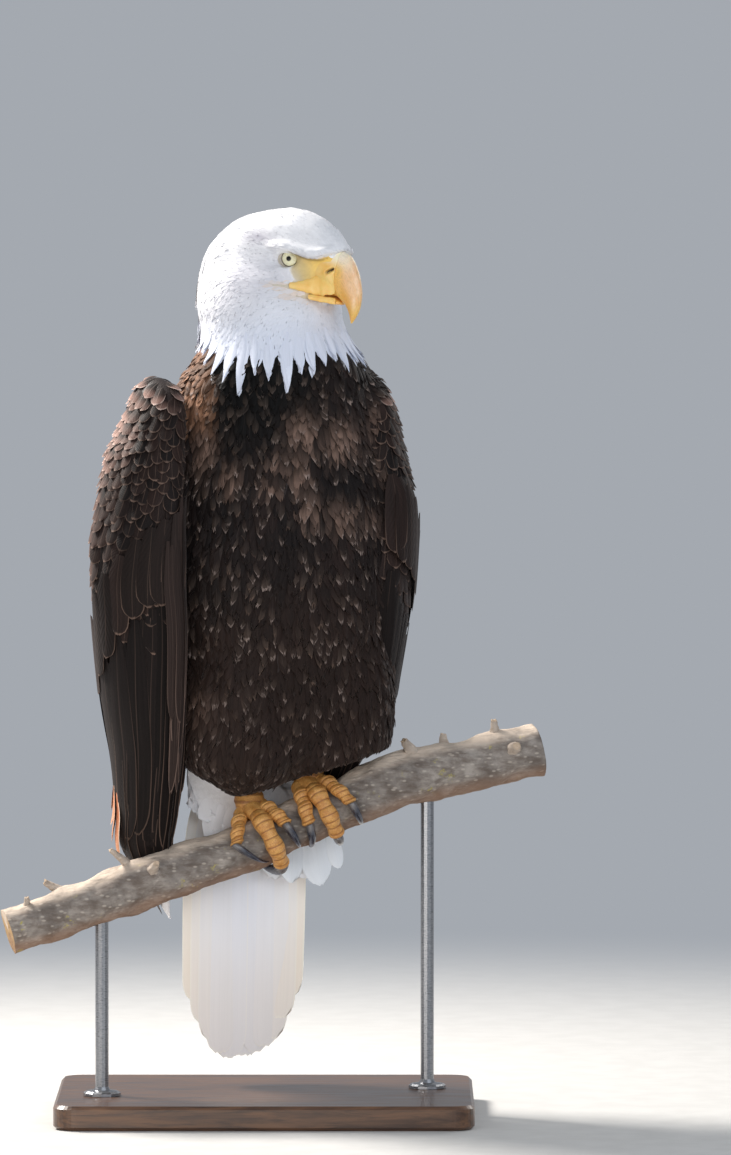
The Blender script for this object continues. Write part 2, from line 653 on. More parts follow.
class Coat:
    """Vanes of one piece, gathered and then made into one mesh."""

    def __init__(self, name, material, slot, unwrap):
        self.name, self.material, self.slot, self.unwrap = name, material, slot, unwrap
        self.points, self.faces, self.uv, self.count = [], [], [], 0
        names = ("along", "across", "from_tip", "from_side", "edge", "edge_fade", "shaft", "chance")
        self.numbers = {key: [] for key in names}
        self.colours = {"tone": [], "trim": []}

    def add(self, lines, ups, width, shape, columns, lift=(0.3, 2.5), cup=0.25, fray=0.05, roll=0.1, seed=1,
            tone=DARK, trim=None, edge=0.0, shaft=0.0, patch=None, tip_tone=None, edge_fade=0.0):
        """Vanes along centre-lines. Width is the half-width of each in millimetres; lift is how far the root and
        the tip stand out from the surface; cup is how far the edges drop, as a share of the half-width."""
        rng = np.random.default_rng(seed)
        count, rows = lines.shape[0], lines.shape[1] - 1
        t = np.linspace(0, 1, rows + 1)
        s = np.sin(np.linspace(-0.5, 0.5, columns + 1) * math.pi)
        width = np.broadcast_to(width, (count,)).astype(float)
        low, high = (np.asarray(v, float).reshape(-1, 1) for v in lift)
        heights = (low + (high - low) * t**1.6) * rng.uniform(0.8, 1.25, (count, 1))
        tangents = np.gradient(lines, axis=1)
        length = np.linalg.norm(tangents, axis=2).sum(1)
        tangents = unit(tangents)
        sides = unit(np.cross(tangents, ups))
        tilt = rng.normal(0, roll, (count, 1, 1))
        half = between(SHAPES[shape])(t)[:, 0][None, :] * width[:, None]
        centre = lines + ups * heights[..., None]
        jag = rng.uniform(-1, 1, (count, 1, columns + 1)) * (length[:, None, None] * fray)
        jag = jag * ease(t, 0.5, 1.0)[None, :, None]
        spread = half[..., None] * s
        drop = cup * half[..., None] * s**2
        points = (
            centre[:, :, None]
            + sides[:, :, None] * spread[..., None]
            + ups[:, :, None] * (spread * tilt - drop)[..., None]
            + tangents[:, :, None] * jag[..., None]
        )
        size = (rows + 1) * (columns + 1)
        self.points.append(points.reshape(-1, 3))
        one = sheet_faces(rows + 1, columns + 1)
        starts = self.count + np.arange(count)[:, None, None] * size
        self.faces.append((one[None] + starts).reshape(-1, 4))
        self.count += count * size
        shape3 = (count, rows + 1, columns + 1)

        def spread_out(values):
            values = np.asarray(values, float)
            if values.ndim == 1:
                values = values[:, None, None]
            return np.broadcast_to(values, shape3).reshape(-1)

        chance = rng.random(count)
        self.numbers["along"].append(spread_out(t[None, :, None]))
        self.numbers["across"].append(spread_out(s[None, None, :]))
        self.numbers["from_tip"].append(spread_out((1 - t)[None, :, None] * length[:, None, None]))
        self.numbers["from_side"].append(spread_out((1 - np.abs(s))[None, None, :] * width[:, None, None]))
        self.numbers["edge_fade"].append(spread_out(edge_fade))
        self.numbers["edge"].append(spread_out(edge))
        self.numbers["shaft"].append(spread_out(shaft))
        self.numbers["chance"].append(spread_out(chance))
        tone = np.broadcast_to(tone, (count, 3))
        trim = tone if trim is None else np.broadcast_to(trim, (count, 3))
        blend = np.broadcast_to(tone[:, None], (count, rows + 1, 3))
        if tip_tone is not None:
            share = ease(t, 0.35, 0.9)[None, :, None]
            blend = blend * (1 - share) + np.broadcast_to(tip_tone, (count, 3))[:, None] * share
        self.colours["tone"].append(np.broadcast_to(blend[:, :, None], (*shape3, 3)).reshape(-1, 3))
        self.colours["trim"].append(np.broadcast_to(trim[:, None, None], (*shape3, 3)).reshape(-1, 3))
        if patch is None:
            root = self.unwrap(lines[:, 0])
            wide = tall = PATCH
            u = root[:, 0, None, None] + wide * (s * 0.5)[None, None, :]
            v = root[:, 1, None, None] + tall * (0.5 - t)[None, :, None]
        else:
            u = patch[:, 0, None, None] + patch[:, 2, None, None] * (0.5 + 0.5 * s)[None, None, :]
            v = patch[:, 1, None, None] + patch[:, 3, None, None] * t[None, :, None]
        uv = np.stack(np.broadcast_arrays(u, v, np.zeros(shape3))[:2], -1)
        self.uv.append(uv.reshape(-1, 2))

    def make(self):
        numbers = {key: np.concatenate(values) for key, values in self.numbers.items()}
        colours = {key: np.concatenate(values) for key, values in self.colours.items()}
        faces = np.concatenate(self.faces)
        made = make(self.name, np.concatenate(self.points), faces, self.material, numbers, colours, np.concatenate(self.uv))
        print(self.name, len(faces) * 2, "triangles")
        return made


def unwrap_body(points):
    """A cylinder's map round the body's own axis, seam at the back."""
    bird = to_bird(points)
    angle = np.arctan2(bird[:, 0], -(bird[:, 1] + 8))
    return np.stack([0.5 + 0.48 * angle / math.pi, 0.02 + 0.96 * (points[:, 2] - 150) / 700], -1)


def unwrap_wing(points):
    bird = to_bird(points)
    angle = np.arctan2(bird[:, 1] - 8, np.abs(bird[:, 0]) - 85)
    return np.stack([0.5 + 0.48 * angle / math.pi, 0.02 + 0.96 * (points[:, 2] - 150) / 560], -1)


def owner_names(surface, places):
    """The CAD node each place lies nearest to."""
    find = surface.owner_tree.find_nearest
    return np.array([FLESH[surface.owners[find(Vector(p))[2]]] for p in places])


def sample(surface, wanted, seed, spacing, count=60000):
    """Roots on the surface where wanted() is true, spaced by spacing()."""
    middles = surface.points[surface.triangles].mean(1)
    places, normals = surface.scatter(count, seed, np.maximum(wanted(middles), 1e-9))
    radius = spacing(places)
    kept = spaced(places, normals, radius)
    kept = kept[wanted(places[kept]) > 0.5]
    return places[kept], normals[kept]


def swayed(aims, normals, places, seed, coherent=0.1, single=0.1):
    """Directions turned a little about the normals: together over a few centimetres, and each on its own."""
    rng = np.random.default_rng(seed)
    angle = coherent * 2 * noise(places + seed * 7, 22) + rng.normal(0, single, len(places))
    side = np.cross(normals, aims)
    return unit(aims * np.cos(angle)[:, None] + side * np.sin(angle)[:, None])


# ---- The head's and neck's feathers --------------------------------------------------------------------------

# By distance from the bill's root: length of a feather.
hackle = between([[8, 4.5], [40, 7], [70, 11], [100, 17], [130, 25], [160, 34], [190, 42]])


def bill_distance(points):
    return np.linalg.norm(to_head(points) - np.array([92.0, 0.0, -8.0]), axis=1)


def near_eye(points):
    """Distance from the nearer eye's middle, along the face."""
    front, left, up = to_head(points).T
    return np.hypot((front - 46.6) / 1.15, up - 4.3) + 100 * (np.abs(left) < 12)


def build_head_coat(surface, paint):
    coat = Coat("coat_head", paint, "feathers_white", unwrap_body)

    def wanted(p):
        bare = np.maximum(lores(p), near_eye(p) < 10.5)
        front, _, up = to_head(p).T
        bill = (front > 90) | ((front > 77) & (up < 5)) | (by_gape(p) > -0.5)
        return (hood(p) > 0.6) * (bare < 0.5) * ~bill * (np.abs(to_bird(p)[:, 0]) < 100)

    def spacing(p):
        return 0.135 * hackle(bill_distance(p))[:, 0] + 0.65

    places, normals = sample(surface, wanted, 3, spacing, 90000)
    rng = np.random.default_rng(5)
    away = bill_distance(places)
    length = hackle(away)[:, 0] * rng.uniform(0.85, 1.2, len(places))
    aims = swayed(flow(places), normals, places, 7, 0.12, 0.07)
    aims, length = toothed(places, aims, normals, length)
    lines, ups = walk(surface, places, normals, aims, length, 5)
    head = to_head(places)
    shade = 0.5 + 0.5 * noise(places, 14)
    n = len(places)
    tone = WHITE * (0.96 + 0.06 * shade[:, None]) * rng.uniform(0.97, 1.03, (n, 1))
    cool = 0.8 * ease(-places[:, 2], -775, -700)[:, None]
    tone = tone * (1 - cool) + rgb(222, 229, 246) * cool
    cheek = 0.8 * np.exp(-(((head[:, 0] - 22) / 34) ** 2) - ((head[:, 2] + 14) / 22) ** 2)[:, None]
    tone = tone * (1 - cheek) + rgb(222, 220, 227) * cheek
    grey = np.exp(-(((head[:, 0] - 24) / 13) ** 2) - ((head[:, 2] - 21) / 6) ** 2) * 0.75
    tone = tone * (1 - grey[:, None]) + rgb(168, 165, 178) * grey[:, None]
    corner = 0.4 * ease(by_gape(places), -2.6, 0.3) * ease(head[:, 0], 30, 42)
    tone = tone * (1 - corner[:, None]) + rgb(240, 192, 122) * corner[:, None]
    tufts = np.array([[-58, 20], [-62, 4], [-60, -12], [-58, -30], [-52, -46], [-40, -52], [-50, 30], [-30, 42]])
    apart = np.hypot(head[:, None, 0] - tufts[None, :, 0], head[:, None, 2] - tufts[None, :, 1]).min(1)
    stray = (apart < 6.5) * rng.uniform(0.4, 1, n)
    crown = ease(head[:, 2], 0, 30) * ease(head[:, 0], -40, 20)
    lift_tip = 0.5 + 0.7 * ease(away, 40, 150) + 4.5 * stray * ease(-head[:, 0], 38, 50)
    coat.add(
        lines, ups, 0.17 * length + 0.6, "point", 3, lift=(0.3, lift_tip), cup=0.08, fray=0.06, roll=0.03,
        seed=9, tone=tone, trim=tone, edge=0, shaft=0.0,
    )
    add_teeth(coat, surface)
    return coat.make()


def add_teeth(coat, surface):
    """Long feathers that fill each of the hood's points down to its tip."""
    rng = np.random.default_rng(31)
    middle = from_bird(np.array([3.0, -20.0, 0.0]))
    turn, tip = np.repeat(TEETH, 9, axis=0).T
    root_turn = np.radians(turn + rng.uniform(-3.2, 3.2, len(turn)))
    height = np.maximum(tip + 20, 702 + 7 * ease(np.abs(turn), 45, 95)) + rng.uniform(-3, 16, len(turn))
    end_turn = np.radians(turn + rng.uniform(-0.8, 0.8, len(turn)))
    places, normals, ends = [], [], []
    for root, end, up, low in zip(root_turn, end_turn, height, tip):
        for angle, level, kept in ((root, up, places), (end, low, ends)):
            ray = from_bird(np.array([math.sin(angle), -math.cos(angle), 0.0]))
            hit = surface.tree.ray_cast(Vector(middle + [0, 0, level]), Vector(ray))
            kept.append(np.array(hit[0]))
            if kept is places:
                normals.append(np.array(hit[1]))
    places, normals, ends = np.array(places), np.array(normals), np.array(ends)
    length = np.linalg.norm(ends - places, axis=1) * rng.uniform(0.86, 1.03, len(places))
    lines, ups = walk(surface, places, normals, unit(ends - places), length, 7)
    tone = rgb(228, 233, 247) * rng.uniform(0.95, 1.03, (len(places), 1))
    coat.add(
        lines, ups, rng.uniform(2.6, 3.8, len(places)), "point", 3, lift=(0.6, 3.4), cup=0.15, fray=0.05,
        roll=0.06, seed=32, tone=tone, trim=tone,
    )


def toothed(places, aims, normals, length):
    """Gathers the hood's lowest feathers into points, and ends each one at the hood's edge."""
    line, valley, near, toward = hood_line(places)
    bird = to_bird(places)
    low = 0.9 * (1 - ease(places[:, 2] - valley, 2, 34))
    reach = np.hypot(bird[:, 0] - 3, bird[:, 1] + 20)
    fall = np.maximum(places[:, 2] - TEETH[near, 1], 6)
    sideways = unit(np.cross(np.broadcast_to([0.0, 0.0, 1.0], normals.shape), normals))
    wish = sideways * (np.radians(toward) * reach)[:, None] + np.array([0.0, 0.0, -1.0]) * fall[:, None]
    aims = unit(aims * (1 - low[:, None]) + unit(wish) * low[:, None])
    return aims, np.minimum(length, np.maximum(places[:, 2] - line, 4) * 1.04 + 3)


# ---- The body's feathers -------------------------------------------------------------------------------------

# Paler marks on the breast, seen from the front: across and up in the row frame, half-sizes, and strength.
MARKS = [
    [36, 640, 11, 17, 0.9], [68, 634, 13, 16, 1.0], [31, 606, 9, 14, 0.8], [43, 572, 8, 14, 0.8],
    [68, 566, 13, 13, 0.8], [-29, 601, 8, 12, 0.8], [-52, 628, 10, 18, 0.8], [13, 617, 7, 9, 0.6],
    [5, 594, 8, 7, 0.6], [96, 648, 6, 16, 0.5], [105, 618, 6, 14, 0.6], [96, 561, 8, 10, 0.5],
    [118, 525, 5, 20, 0.6], [122, 470, 5, 30, 0.35], [-62, 400, 16, 18, 0.3],
]


def marks(places):
    """How pale the breast is here."""
    total = np.zeros(len(places))
    facing = ease(-to_bird(places)[:, 1], 10, 40)
    for x, z, wide, tall, strength in MARKS:
        spot = np.exp(-(((places[:, 0] - x) / wide) ** 2) - ((places[:, 2] - z) / tall) ** 2)
        total = np.maximum(total, strength * spot)
    return total * facing


def build_body_coat(surface, paint, name, seed, wanted_side):
    coat = Coat(name, paint, "feathers_brown", unwrap_body)

    def wanted(p):
        bird = to_bird(p)
        tail = (bird[:, 1] > 18) * (p[:, 2] < 346)
        return (hood(p) < 0.6) * (np.abs(bird[:, 0]) < 118) * ~tail * (p[:, 2] < 712) * wanted_side(bird)

    def spacing(p):
        return 5.4 - 0.8 * ease(p[:, 2], 600, 680) - 0.4 * ease(-p[:, 2], -340, -300)

    places, normals = sample(surface, wanted, seed, spacing)
    names = owner_names(surface, places)
    own = np.array([n.startswith(("trunk", "thigh", "neck", "head")) for n in names])
    places, normals, names = places[own], normals[own], names[own]
    rng = np.random.default_rng(seed + 1)
    n = len(places)
    bird = to_bird(places)
    legs = np.array([name.startswith("thigh") for name in names])
    length = np.where(legs, 25, 23) * rng.uniform(0.85, 1.2, n) * (1 - 0.25 * ease(places[:, 2], 620, 680))
    outward = unit(from_bird(np.stack([bird[:, 0] * 0.15, 0 * bird[:, 1], 0 * bird[:, 1]], -1)) + 1e-6)
    aims = unit(flow(places) * np.array([0.3, 0.3, 1]) + outward * 0.08)
    aims = swayed(aims, normals, places, seed + 2, 0.16, 0.1)
    lines, ups = walk(surface, places, normals, aims, length, 5)
    pale = marks(places)
    dapple = 0.5 + 0.5 * noise(places, 38)
    light = rng.random(n)
    front = ease(-bird[:, 1], -20, 30)
    warm = ease(-places[:, 2], -560, -430)
    mantle = 0.4 * ease(bird[:, 1], -8, 26) * ease(places[:, 2], 540, 690)
    mantle = np.maximum(mantle, ease(-places[:, 0], 36, 52) * ease(places[:, 2], 628, 656))
    shaded = front * ease(places[:, 2], 600, 668) * ease(-np.abs(places[:, 0] + 2), -66, -38)
    tone = BLACKISH + (DARK - BLACKISH) * (0.95 * dapple[:, None]) * rng.uniform(0.5, 1.4, (n, 1))
    tone = tone * (1 - 0.35 * warm[:, None]) + rgb(50, 34, 26) * 0.35 * warm[:, None]
    tone = tone * (1 - 0.9 * shaded[:, None])
    warmth = mantle[:, None] * rng.uniform(0.3, 1, (n, 1)) * (1 - 0.4 * ease(bird[:, 1], 10, 40)[:, None])
    tone = tone * (1 - warmth) + rgb(160, 116, 88) * warmth
    speck = (light > 0.68) * front * rng.uniform(0.2, 0.75, n) * (1 - 0.4 * ease(-places[:, 2], -470, -380))
    tip = tone * (1 - 0.3 * speck[:, None]) + rgb(122, 104, 92) * 0.3 * speck[:, None]
    tip = tip * (1 - pale[:, None]) + rgb(136, 110, 97) * pale[:, None] * rng.uniform(0.75, 1.15, (n, 1))
    tone = tone * (1 - 0.6 * pale[:, None]) + rgb(96, 76, 64) * 0.6 * pale[:, None]
    trim = np.where((light > 0.8)[:, None], rgb(160, 142, 134), rgb(104, 84, 73)) * np.ones((n, 1))
    edge = np.clip(0.05 + 0.85 * speck + 0.2 * pale + 0.35 * mantle, 0, 0.85) * (1 - 0.8 * shaded)
    coat.add(
        lines, ups, rng.uniform(3.6, 5.2, n), "blunt", 5, lift=(0.4, 2.9), cup=0.3, fray=0.1, roll=0.12,
        seed=seed + 3, tone=tone, tip_tone=tip, trim=trim, edge=edge, edge_fade=0.22, shaft=0.12 * rng.random(n),
    )
    return coat.make()


# ---- Wings ---------------------------------------------------------------------------------------------------

# By height: distance of the folded wing's middle from the body's, its middle from front to back, half its
# length from front to back, half its thickness, and how far its rear edge wraps round the back.
wing = between([
    [172, 75, 64, 7, 3, 0.5], [194, 80, 61, 22, 6, 0.6], [230, 86, 56, 37, 10, 0.8], [280, 94, 48, 54, 14, 0.95],
    [330, 101, 38, 68, 19, 1], [390, 109, 24, 80, 24, 1], [450, 115, 12, 86, 28, 0.95], [510, 119, 2, 84, 31, 0.85],
    [570, 121, -8, 75, 32, 0.7], [620, 119, -18, 62, 31, 0.5], [650, 116, -25, 50, 28, 0.41],
    [666, 113, -28, 37, 23, 0.41], [675, 111, -30, 20, 14, 0.41], [678, 110, -30, 7, 6, 0.41],
])
# How much wider each wing is than that, by height.
WING_WIDER = {
    "right": between([
        [172, -6], [200, 2], [225, 13], [250, 18], [282, 12], [345, 4], [420, 6], [460, 8], [500, 12], [540, 11],
        [580, 3], [605, 1], [640, -12], [660, -9], [678, -3],
    ]),
    "left": between([
        [172, 0], [300, 2], [340, 9], [380, 16], [400, 13], [440, 9], [500, 6], [560, 4], [600, -5], [640, -9],
        [660, -10], [678, -3],
    ]),
}
WING_FRONT = 0.13
WING_SPREAD = {"right": 12, "left": -22}
WING_WRAP = {"right": 1.15, "left": 0.85}
WING_REAR = {"right": 4, "left": 10}
WING_TUCK = {"right": 0.25, "left": 1}
TUCK_IN, TUCK_BACK, TUCK_LEAN, TUCK_FROM, WING_TIP = 40, 36, 0.5, 400, 172


def wing_point(name, height, angle, grow):
    """A place on the folded wing: angle 0 is its rear edge, half pi its outer face, pi its front edge."""
    height, angle, grow = np.broadcast_arrays(height, angle, grow)
    out, middle, length, thick, wrap = np.moveaxis(wing(height), -1, 0)
    low = ease(-height, -TUCK_FROM, -WING_TIP)
    tuck = WING_TUCK[name] * low
    wider = WING_WIDER[name](height)[..., 0]
    outward = out + WING_SPREAD[name] * (1 - low) - TUCK_IN * tuck + wider / 2
    along = np.cos(angle)
    bend = (wrap * WING_WRAP[name] + WING_FRONT) / 2
    lean = (wrap * WING_WRAP[name] - WING_FRONT) / 2 + TUCK_LEAN * tuck
    beside = outward - length * (bend * along**2 + lean * along) + (thick + wider / 2 + grow) * np.sin(angle)
    back = middle + TUCK_BACK * tuck + WING_REAR[name] * (1 + along) / 2 + (length + grow) * along
    return from_bird(np.stack([SIDES[name] * beside, back, height + 0 * along], -1))


def wing_lines(name, starts, ends, rows, grow):
    """Centre-lines on the wing from (height, angle) starts to ends, with the surface's normals."""
    t = np.linspace(0, 1, rows + 1)
    height = starts[:, :1] + (ends[:, :1] - starts[:, :1]) * t
    angle = starts[:, 1:] + (ends[:, 1:] - starts[:, 1:]) * t**0.9
    lines = wing_point(name, height, angle, grow)
    round_ = wing_point(name, height, angle + 0.03, grow) - wing_point(name, height, angle - 0.03, grow)
    down = wing_point(name, height - 3, angle, grow) - wing_point(name, height + 3, angle, grow)
    ups = unit(np.cross(round_, down)) * SIDES[name]
    middle = wing_point(name, height, 0 * angle + math.pi / 2, -20 + 0 * height)
    flip = np.sign((ups * (lines - middle)).sum(-1, keepdims=True))
    return lines, ups * np.where(flip == 0, 1, flip)


def rectangles(count, index=0, total=1):
    """Map patches side by side, one for each long vane: left, bottom, width and height."""
    wide = 0.96 / count
    rows = np.arange(count)
    bottom = 0.02 + 0.96 * index / total
    return np.stack([0.02 + rows * wide, np.full(count, bottom), np.full(count, wide * 0.9), np.full(count, 0.9 / total)], -1)


FLIGHT_BROWN = rgb(25, 19, 18)
PALE_EDGE = rgb(120, 98, 86)


def build_flight(name, paint):
    coat = Coat(f"flight_{name}", paint, "feathers_flight", unwrap_wing)
    rng = np.random.default_rng(40 + SIDES[name])
    groups = [
        # count, start height front to rear, start angle front to rear, tip height front to rear, tip angle,
        # layer, half-width
        ("inner", 7, (470, 400), (3.35, 4.3), (225, 205), (3.5, 4.6), (0.2, 0.8), 10),
        ("primary", 9, (480, 400), (3.12, 2.0), (246, 176), (3.2, 1.3), (0.0, 1.6), 11),
        ("secondary", 9, (440, 350), (2.45, 0.35), (262, 196), (2.35, 0.2), (1.6, 3.4), 13),
        ("tertial", 4, (400, 372), (1.5, 0.25), (300, 262), (1.35, 0.2), (3.6, 4.6), 14),
    ]
    for index, (kind, count, start_h, start_a, end_h, end_a, layer, half) in enumerate(groups):
        share = np.linspace(0, 1, count)
        blend = lambda pair: pair[0] + (pair[1] - pair[0]) * share
        starts = np.stack([blend(start_h) + 20, blend(start_a)], -1)
        ends = np.stack([blend(end_h) + rng.uniform(-5, 5, count), blend(end_a)], -1)
        lines, ups = wing_lines(name, starts, ends, 30, blend(layer)[:, None])
        n = len(lines)
        tone = FLIGHT_BROWN * rng.uniform(0.55, 1.15, (n, 1))
        coat.add(
            lines, ups, half * rng.uniform(0.92, 1.08, n), "long", 10, lift=(0.0, 0.8), cup=0.12, fray=0.006,
            roll=0.05, seed=50 + index, tone=tone, trim=PALE_EDGE, edge=rng.uniform(0.3, 0.8, n), edge_fade=0.008, shaft=0.2,
            patch=rectangles(n, index, len(groups)),
        )
    return coat.make()


COVERT_END = {"right": 396, "left": 430}  # the height of the lowest scaly feathers


def build_wing_coverts(surface, name, paint):
    coat = Coat(f"coverts_{name}", paint, "feathers_wing", unwrap_wing)
    side = SIDES[name]

    def wanted(p):
        bird = to_bird(p)
        edge = COVERT_END[name] - 1.15 * (bird[:, 1] - 10)
        return (bird[:, 0] * side > 64) * (p[:, 2] > edge - 22) * (p[:, 2] > 300)

    def spacing(p):
        return 7.5 + 5.5 * ease(-p[:, 2], -620, -430)

    places, normals = sample(surface, wanted, 60 + side, spacing)
    names = owner_names(surface, places)
    own = np.array([n.startswith("wing") for n in names])
    places, normals = places[own], normals[own]
    rng = np.random.default_rng(61 + side)
    n = len(places)
    low = ease(-places[:, 2], -630, -430)
    length = (17 + 20 * low) * rng.uniform(0.9, 1.12, n)
    aims = from_bird(np.broadcast_to([0.0, 0.28, -1.0], places.shape))
    aims = swayed(unit(aims - dot(aims, normals) * normals), normals, places, 62 + side, 0.08, 0.06)
    lines, ups = walk(surface, places, normals, aims, length, 7)
    light = rng.random(n)
    rear_lit = ease(to_bird(places)[:, 1], -10, 60)
    tone = BLACKISH + (DARK - BLACKISH) * rng.uniform(0.2, 1.5, (n, 1))
    tone = tone * (1 - 0.35 * rear_lit[:, None]) + rgb(66, 49, 41) * 0.35 * rear_lit[:, None]
    sunny = ease(dot(normals, unit(np.array([-0.75, 0.1, 0.65])))[:, 0], 0.5, 0.95) * (0.35 + 0.65 * ease(places[:, 2], 560, 650))
    top = np.clip(np.maximum(sunny, ease(places[:, 2], 654, 672)) * rng.uniform(0.6, 1.2, n), 0, 1)
    trim = PALE_EDGE * (1 - top[:, None]) + rgb(250, 222, 208) * top[:, None]
    tip = tone * (1 - 0.7 * top[:, None]) + rgb(200, 158, 143) * 0.7 * top[:, None]
    coat.add(
        lines, ups, (0.36 - 0.06 * low) * length, "round", 6, lift=(0.4, 3.4), cup=0.22, fray=0.015, roll=0.08,
        seed=63 + side, tone=tone, tip_tone=tip, trim=trim, edge=np.clip(0.3 + 0.6 * light, 0, 0.9), edge_fade=0.09, shaft=0.3,
    )
    rows = 15
    share = np.linspace(0, 1, rows)
    angle = 3.1 - 2.9 * share
    back = to_bird(wing_point(name, 430.0, angle, 0.0))[:, 1]
    tip_height = COVERT_END[name] - 1.15 * (back - 10) - 8
    starts = np.stack([tip_height + 75, angle + 0.06], -1)
    ends = np.stack([tip_height + rng.uniform(-4, 4, rows), angle - 0.04], -1)
    lines, ups = wing_lines(name, starts, ends, 16, 3.2 + 1.5 * share[:, None])
    coat.add(
        lines, ups, 11.5, "long", 8, lift=(0.0, 0.8), cup=0.15, fray=0.01, roll=0.06, seed=70 + side,
        tone=DARK * rng.uniform(0.5, 1.1, (rows, 1)), trim=PALE_EDGE, edge=rng.uniform(0.4, 0.8, rows), edge_fade=0.03, shaft=0.2,
    )
    if name == "right":
        add_wing_edges(coat, name)
    return coat.make()


def add_wing_edges(coat, name):
    """Slim upright feathers along the wing's front edge, and ruddy ones that show at its outer edge."""
    rng = np.random.default_rng(75)
    count = 8
    starts = np.stack([rng.uniform(520, 575, count), np.linspace(2.98, 3.5, count)], -1)
    ends = np.stack([rng.uniform(300, 380, count), np.linspace(2.98, 3.5, count)], -1)
    lines, ups = wing_lines(name, starts, ends, 24, 5.5)
    tone = rgb(40, 30, 27) * rng.uniform(0.4, 1.4, (count, 1))
    coat.add(
        lines, ups, rng.uniform(4, 6.5, count), "long", 6, lift=(0.0, 1.2), cup=0.2, fray=0.01, roll=0.1, seed=76,
        tone=tone, trim=rgb(128, 106, 96), edge=rng.uniform(0.2, 0.8, count), edge_fade=0.01, shaft=0.2,
    )
    count = 5
    starts = np.stack([np.linspace(352, 300, count), np.linspace(1.2, 1.75, count)], -1)
    ends = starts + np.array([-60, 0.05])
    lines, ups = wing_lines(name, starts, ends, 10, 2.5)
    coat.add(
        lines, ups, 9.0, "round", 6, lift=(0.2, 7.5), cup=0.2, fray=0.02, roll=0.1, seed=77,
        tone=rgb(196, 118, 78), tip_tone=rgb(226, 158, 118), trim=rgb(255, 232, 210), edge=0.8, shaft=0.3,
    )


# ---- Tail ----------------------------------------------------------------------------------------------------

TAIL_HALF, TAIL_TIP, TAIL_OUTER_RISE, TAIL_MIDDLE = 61, 47, 68, 8


def build_tail(paint):
    coat = Coat("tail_vanes", paint, "feathers_white", unwrap_body)
    rng = np.random.default_rng(80)
    rows, columns = 44, 12
    places = np.array([-1, 1])[:, None] * (np.arange(6)[None] + 0.5) / 6
    share = places.ravel()
    t = np.linspace(0, 1, rows + 1)
    tip = TAIL_TIP + TAIL_OUTER_RISE * np.abs(share) ** 2.6 + rng.uniform(-2, 3, 12)
    heights = 322 + (tip[:, None] - 322) * t
    spread = 40 + 10 * ease(t, 0.0, 0.35)
    across = share[:, None] * spread[None]
    layer = 56 + (340 - heights) * 0.05 + 4 * (share**2)[:, None] - 3.2 * np.abs(share)[:, None] + 0.6
    bow = 1.5 * np.sin(t * math.pi)[None] * share[:, None]
    lines = from_bird(np.stack([TAIL_MIDDLE + across + bow, layer, heights], -1))
    front = from_bird(np.array([0.0, -1.0, 0.06]))
    ups = np.broadcast_to(unit(front), lines.shape)
    outer = np.abs(share)[:, None] ** 2
    tone = rgb(240, 243, 252) * (1 - outer) + rgb(252, 246, 236) * outer
    coat.add(
        lines, ups, 17.5 - 3 * np.abs(share), "broad", columns, lift=(0.0, 1.2), cup=0.03, fray=0.004, roll=0.02,
        seed=81, tone=tone, tip_tone=tone * np.array([1.0, 0.93, 0.85]), trim=rgb(255, 248, 234), edge=0.3 + 0.7 * np.abs(share) ** 3,
        shaft=0.0, patch=rectangles(12),
    )
    made = coat.make()
    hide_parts("tail")
    return made


def build_vent(surface, paint):
    coat = Coat("coat_tail_coverts", paint, "feathers_white", unwrap_body)

    def wanted(p):
        bird = to_bird(p)
        return (p[:, 2] < 340) * (bird[:, 1] > -10) * (np.abs(bird[:, 0]) < 112)

    places, normals = sample(surface, wanted, 90, lambda p: 7.5 + 0 * p[:, 0])
    names = owner_names(surface, places)
    own = (names == "tail_coverts") & (normals[:, 2] > -0.3) & (places[:, 2] > 228)
    places, normals = places[own], normals[own]
    rng = np.random.default_rng(91)
    n = len(places)
    length = np.minimum(rng.uniform(24, 36, n), places[:, 2] - 212)
    aims = swayed(np.broadcast_to([0.0, 0.0, -1.0], places.shape), normals, places, 92, 0.12, 0.08)
    lines, ups = walk(surface, places, normals, aims, length, 7)
    for row in range(2, lines.shape[1]):
        turned_under = ups[:, row, 2] < -0.15
        lines[turned_under, row] = 2 * lines[turned_under, row - 1] - lines[turned_under, row - 2]
        ups[turned_under, row] = ups[turned_under, row - 1]
    tone = WHITE * rng.uniform(0.96, 1.02, (n, 1))
    coat.add(
        lines, ups, rng.uniform(7.5, 10, n), "round", 6, lift=(0.4, 2.2), cup=0.15, fray=0.03, roll=0.04, seed=93,
        tone=tone, tip_tone=tone, trim=tone * 0.95, edge=0.2, shaft=0.1,
    )
    add_vent_tips(coat)
    return coat.make()


# The lowest white feathers under the perch: root, tip and half-width in the row frame.
VENT_TIPS = np.array([
    [8, 38, 262, 4, 43, 217, 12], [26, 44, 264, 23, 51, 209, 13.5], [58, 64, 260, 67, 69, 221, 8.5],
    [42, 54, 266, 51, 62, 206, 15.5],
], float)


def add_vent_tips(coat):
    """A few broad rounded feathers, which hang side by side over the smaller ones."""
    t = np.linspace(0, 1, 17)[None, :, None]
    lines = VENT_TIPS[:, None, :3] * (1 - t) + VENT_TIPS[:, None, 3:6] * t
    ups = np.broadcast_to(unit(from_bird(np.array([0.0, -1.0, 0.12]))), lines.shape)
    coat.add(
        lines, ups, VENT_TIPS[:, 6], "round", 10, lift=(0.0, 1.0), cup=0.22, fray=0.015, roll=0.03, seed=94,
        tone=rgb(233, 238, 244), trim=rgb(214, 218, 222), edge=0.3, shaft=0.15,
    )


# ---- Bill ----------------------------------------------------------------------------------------------------

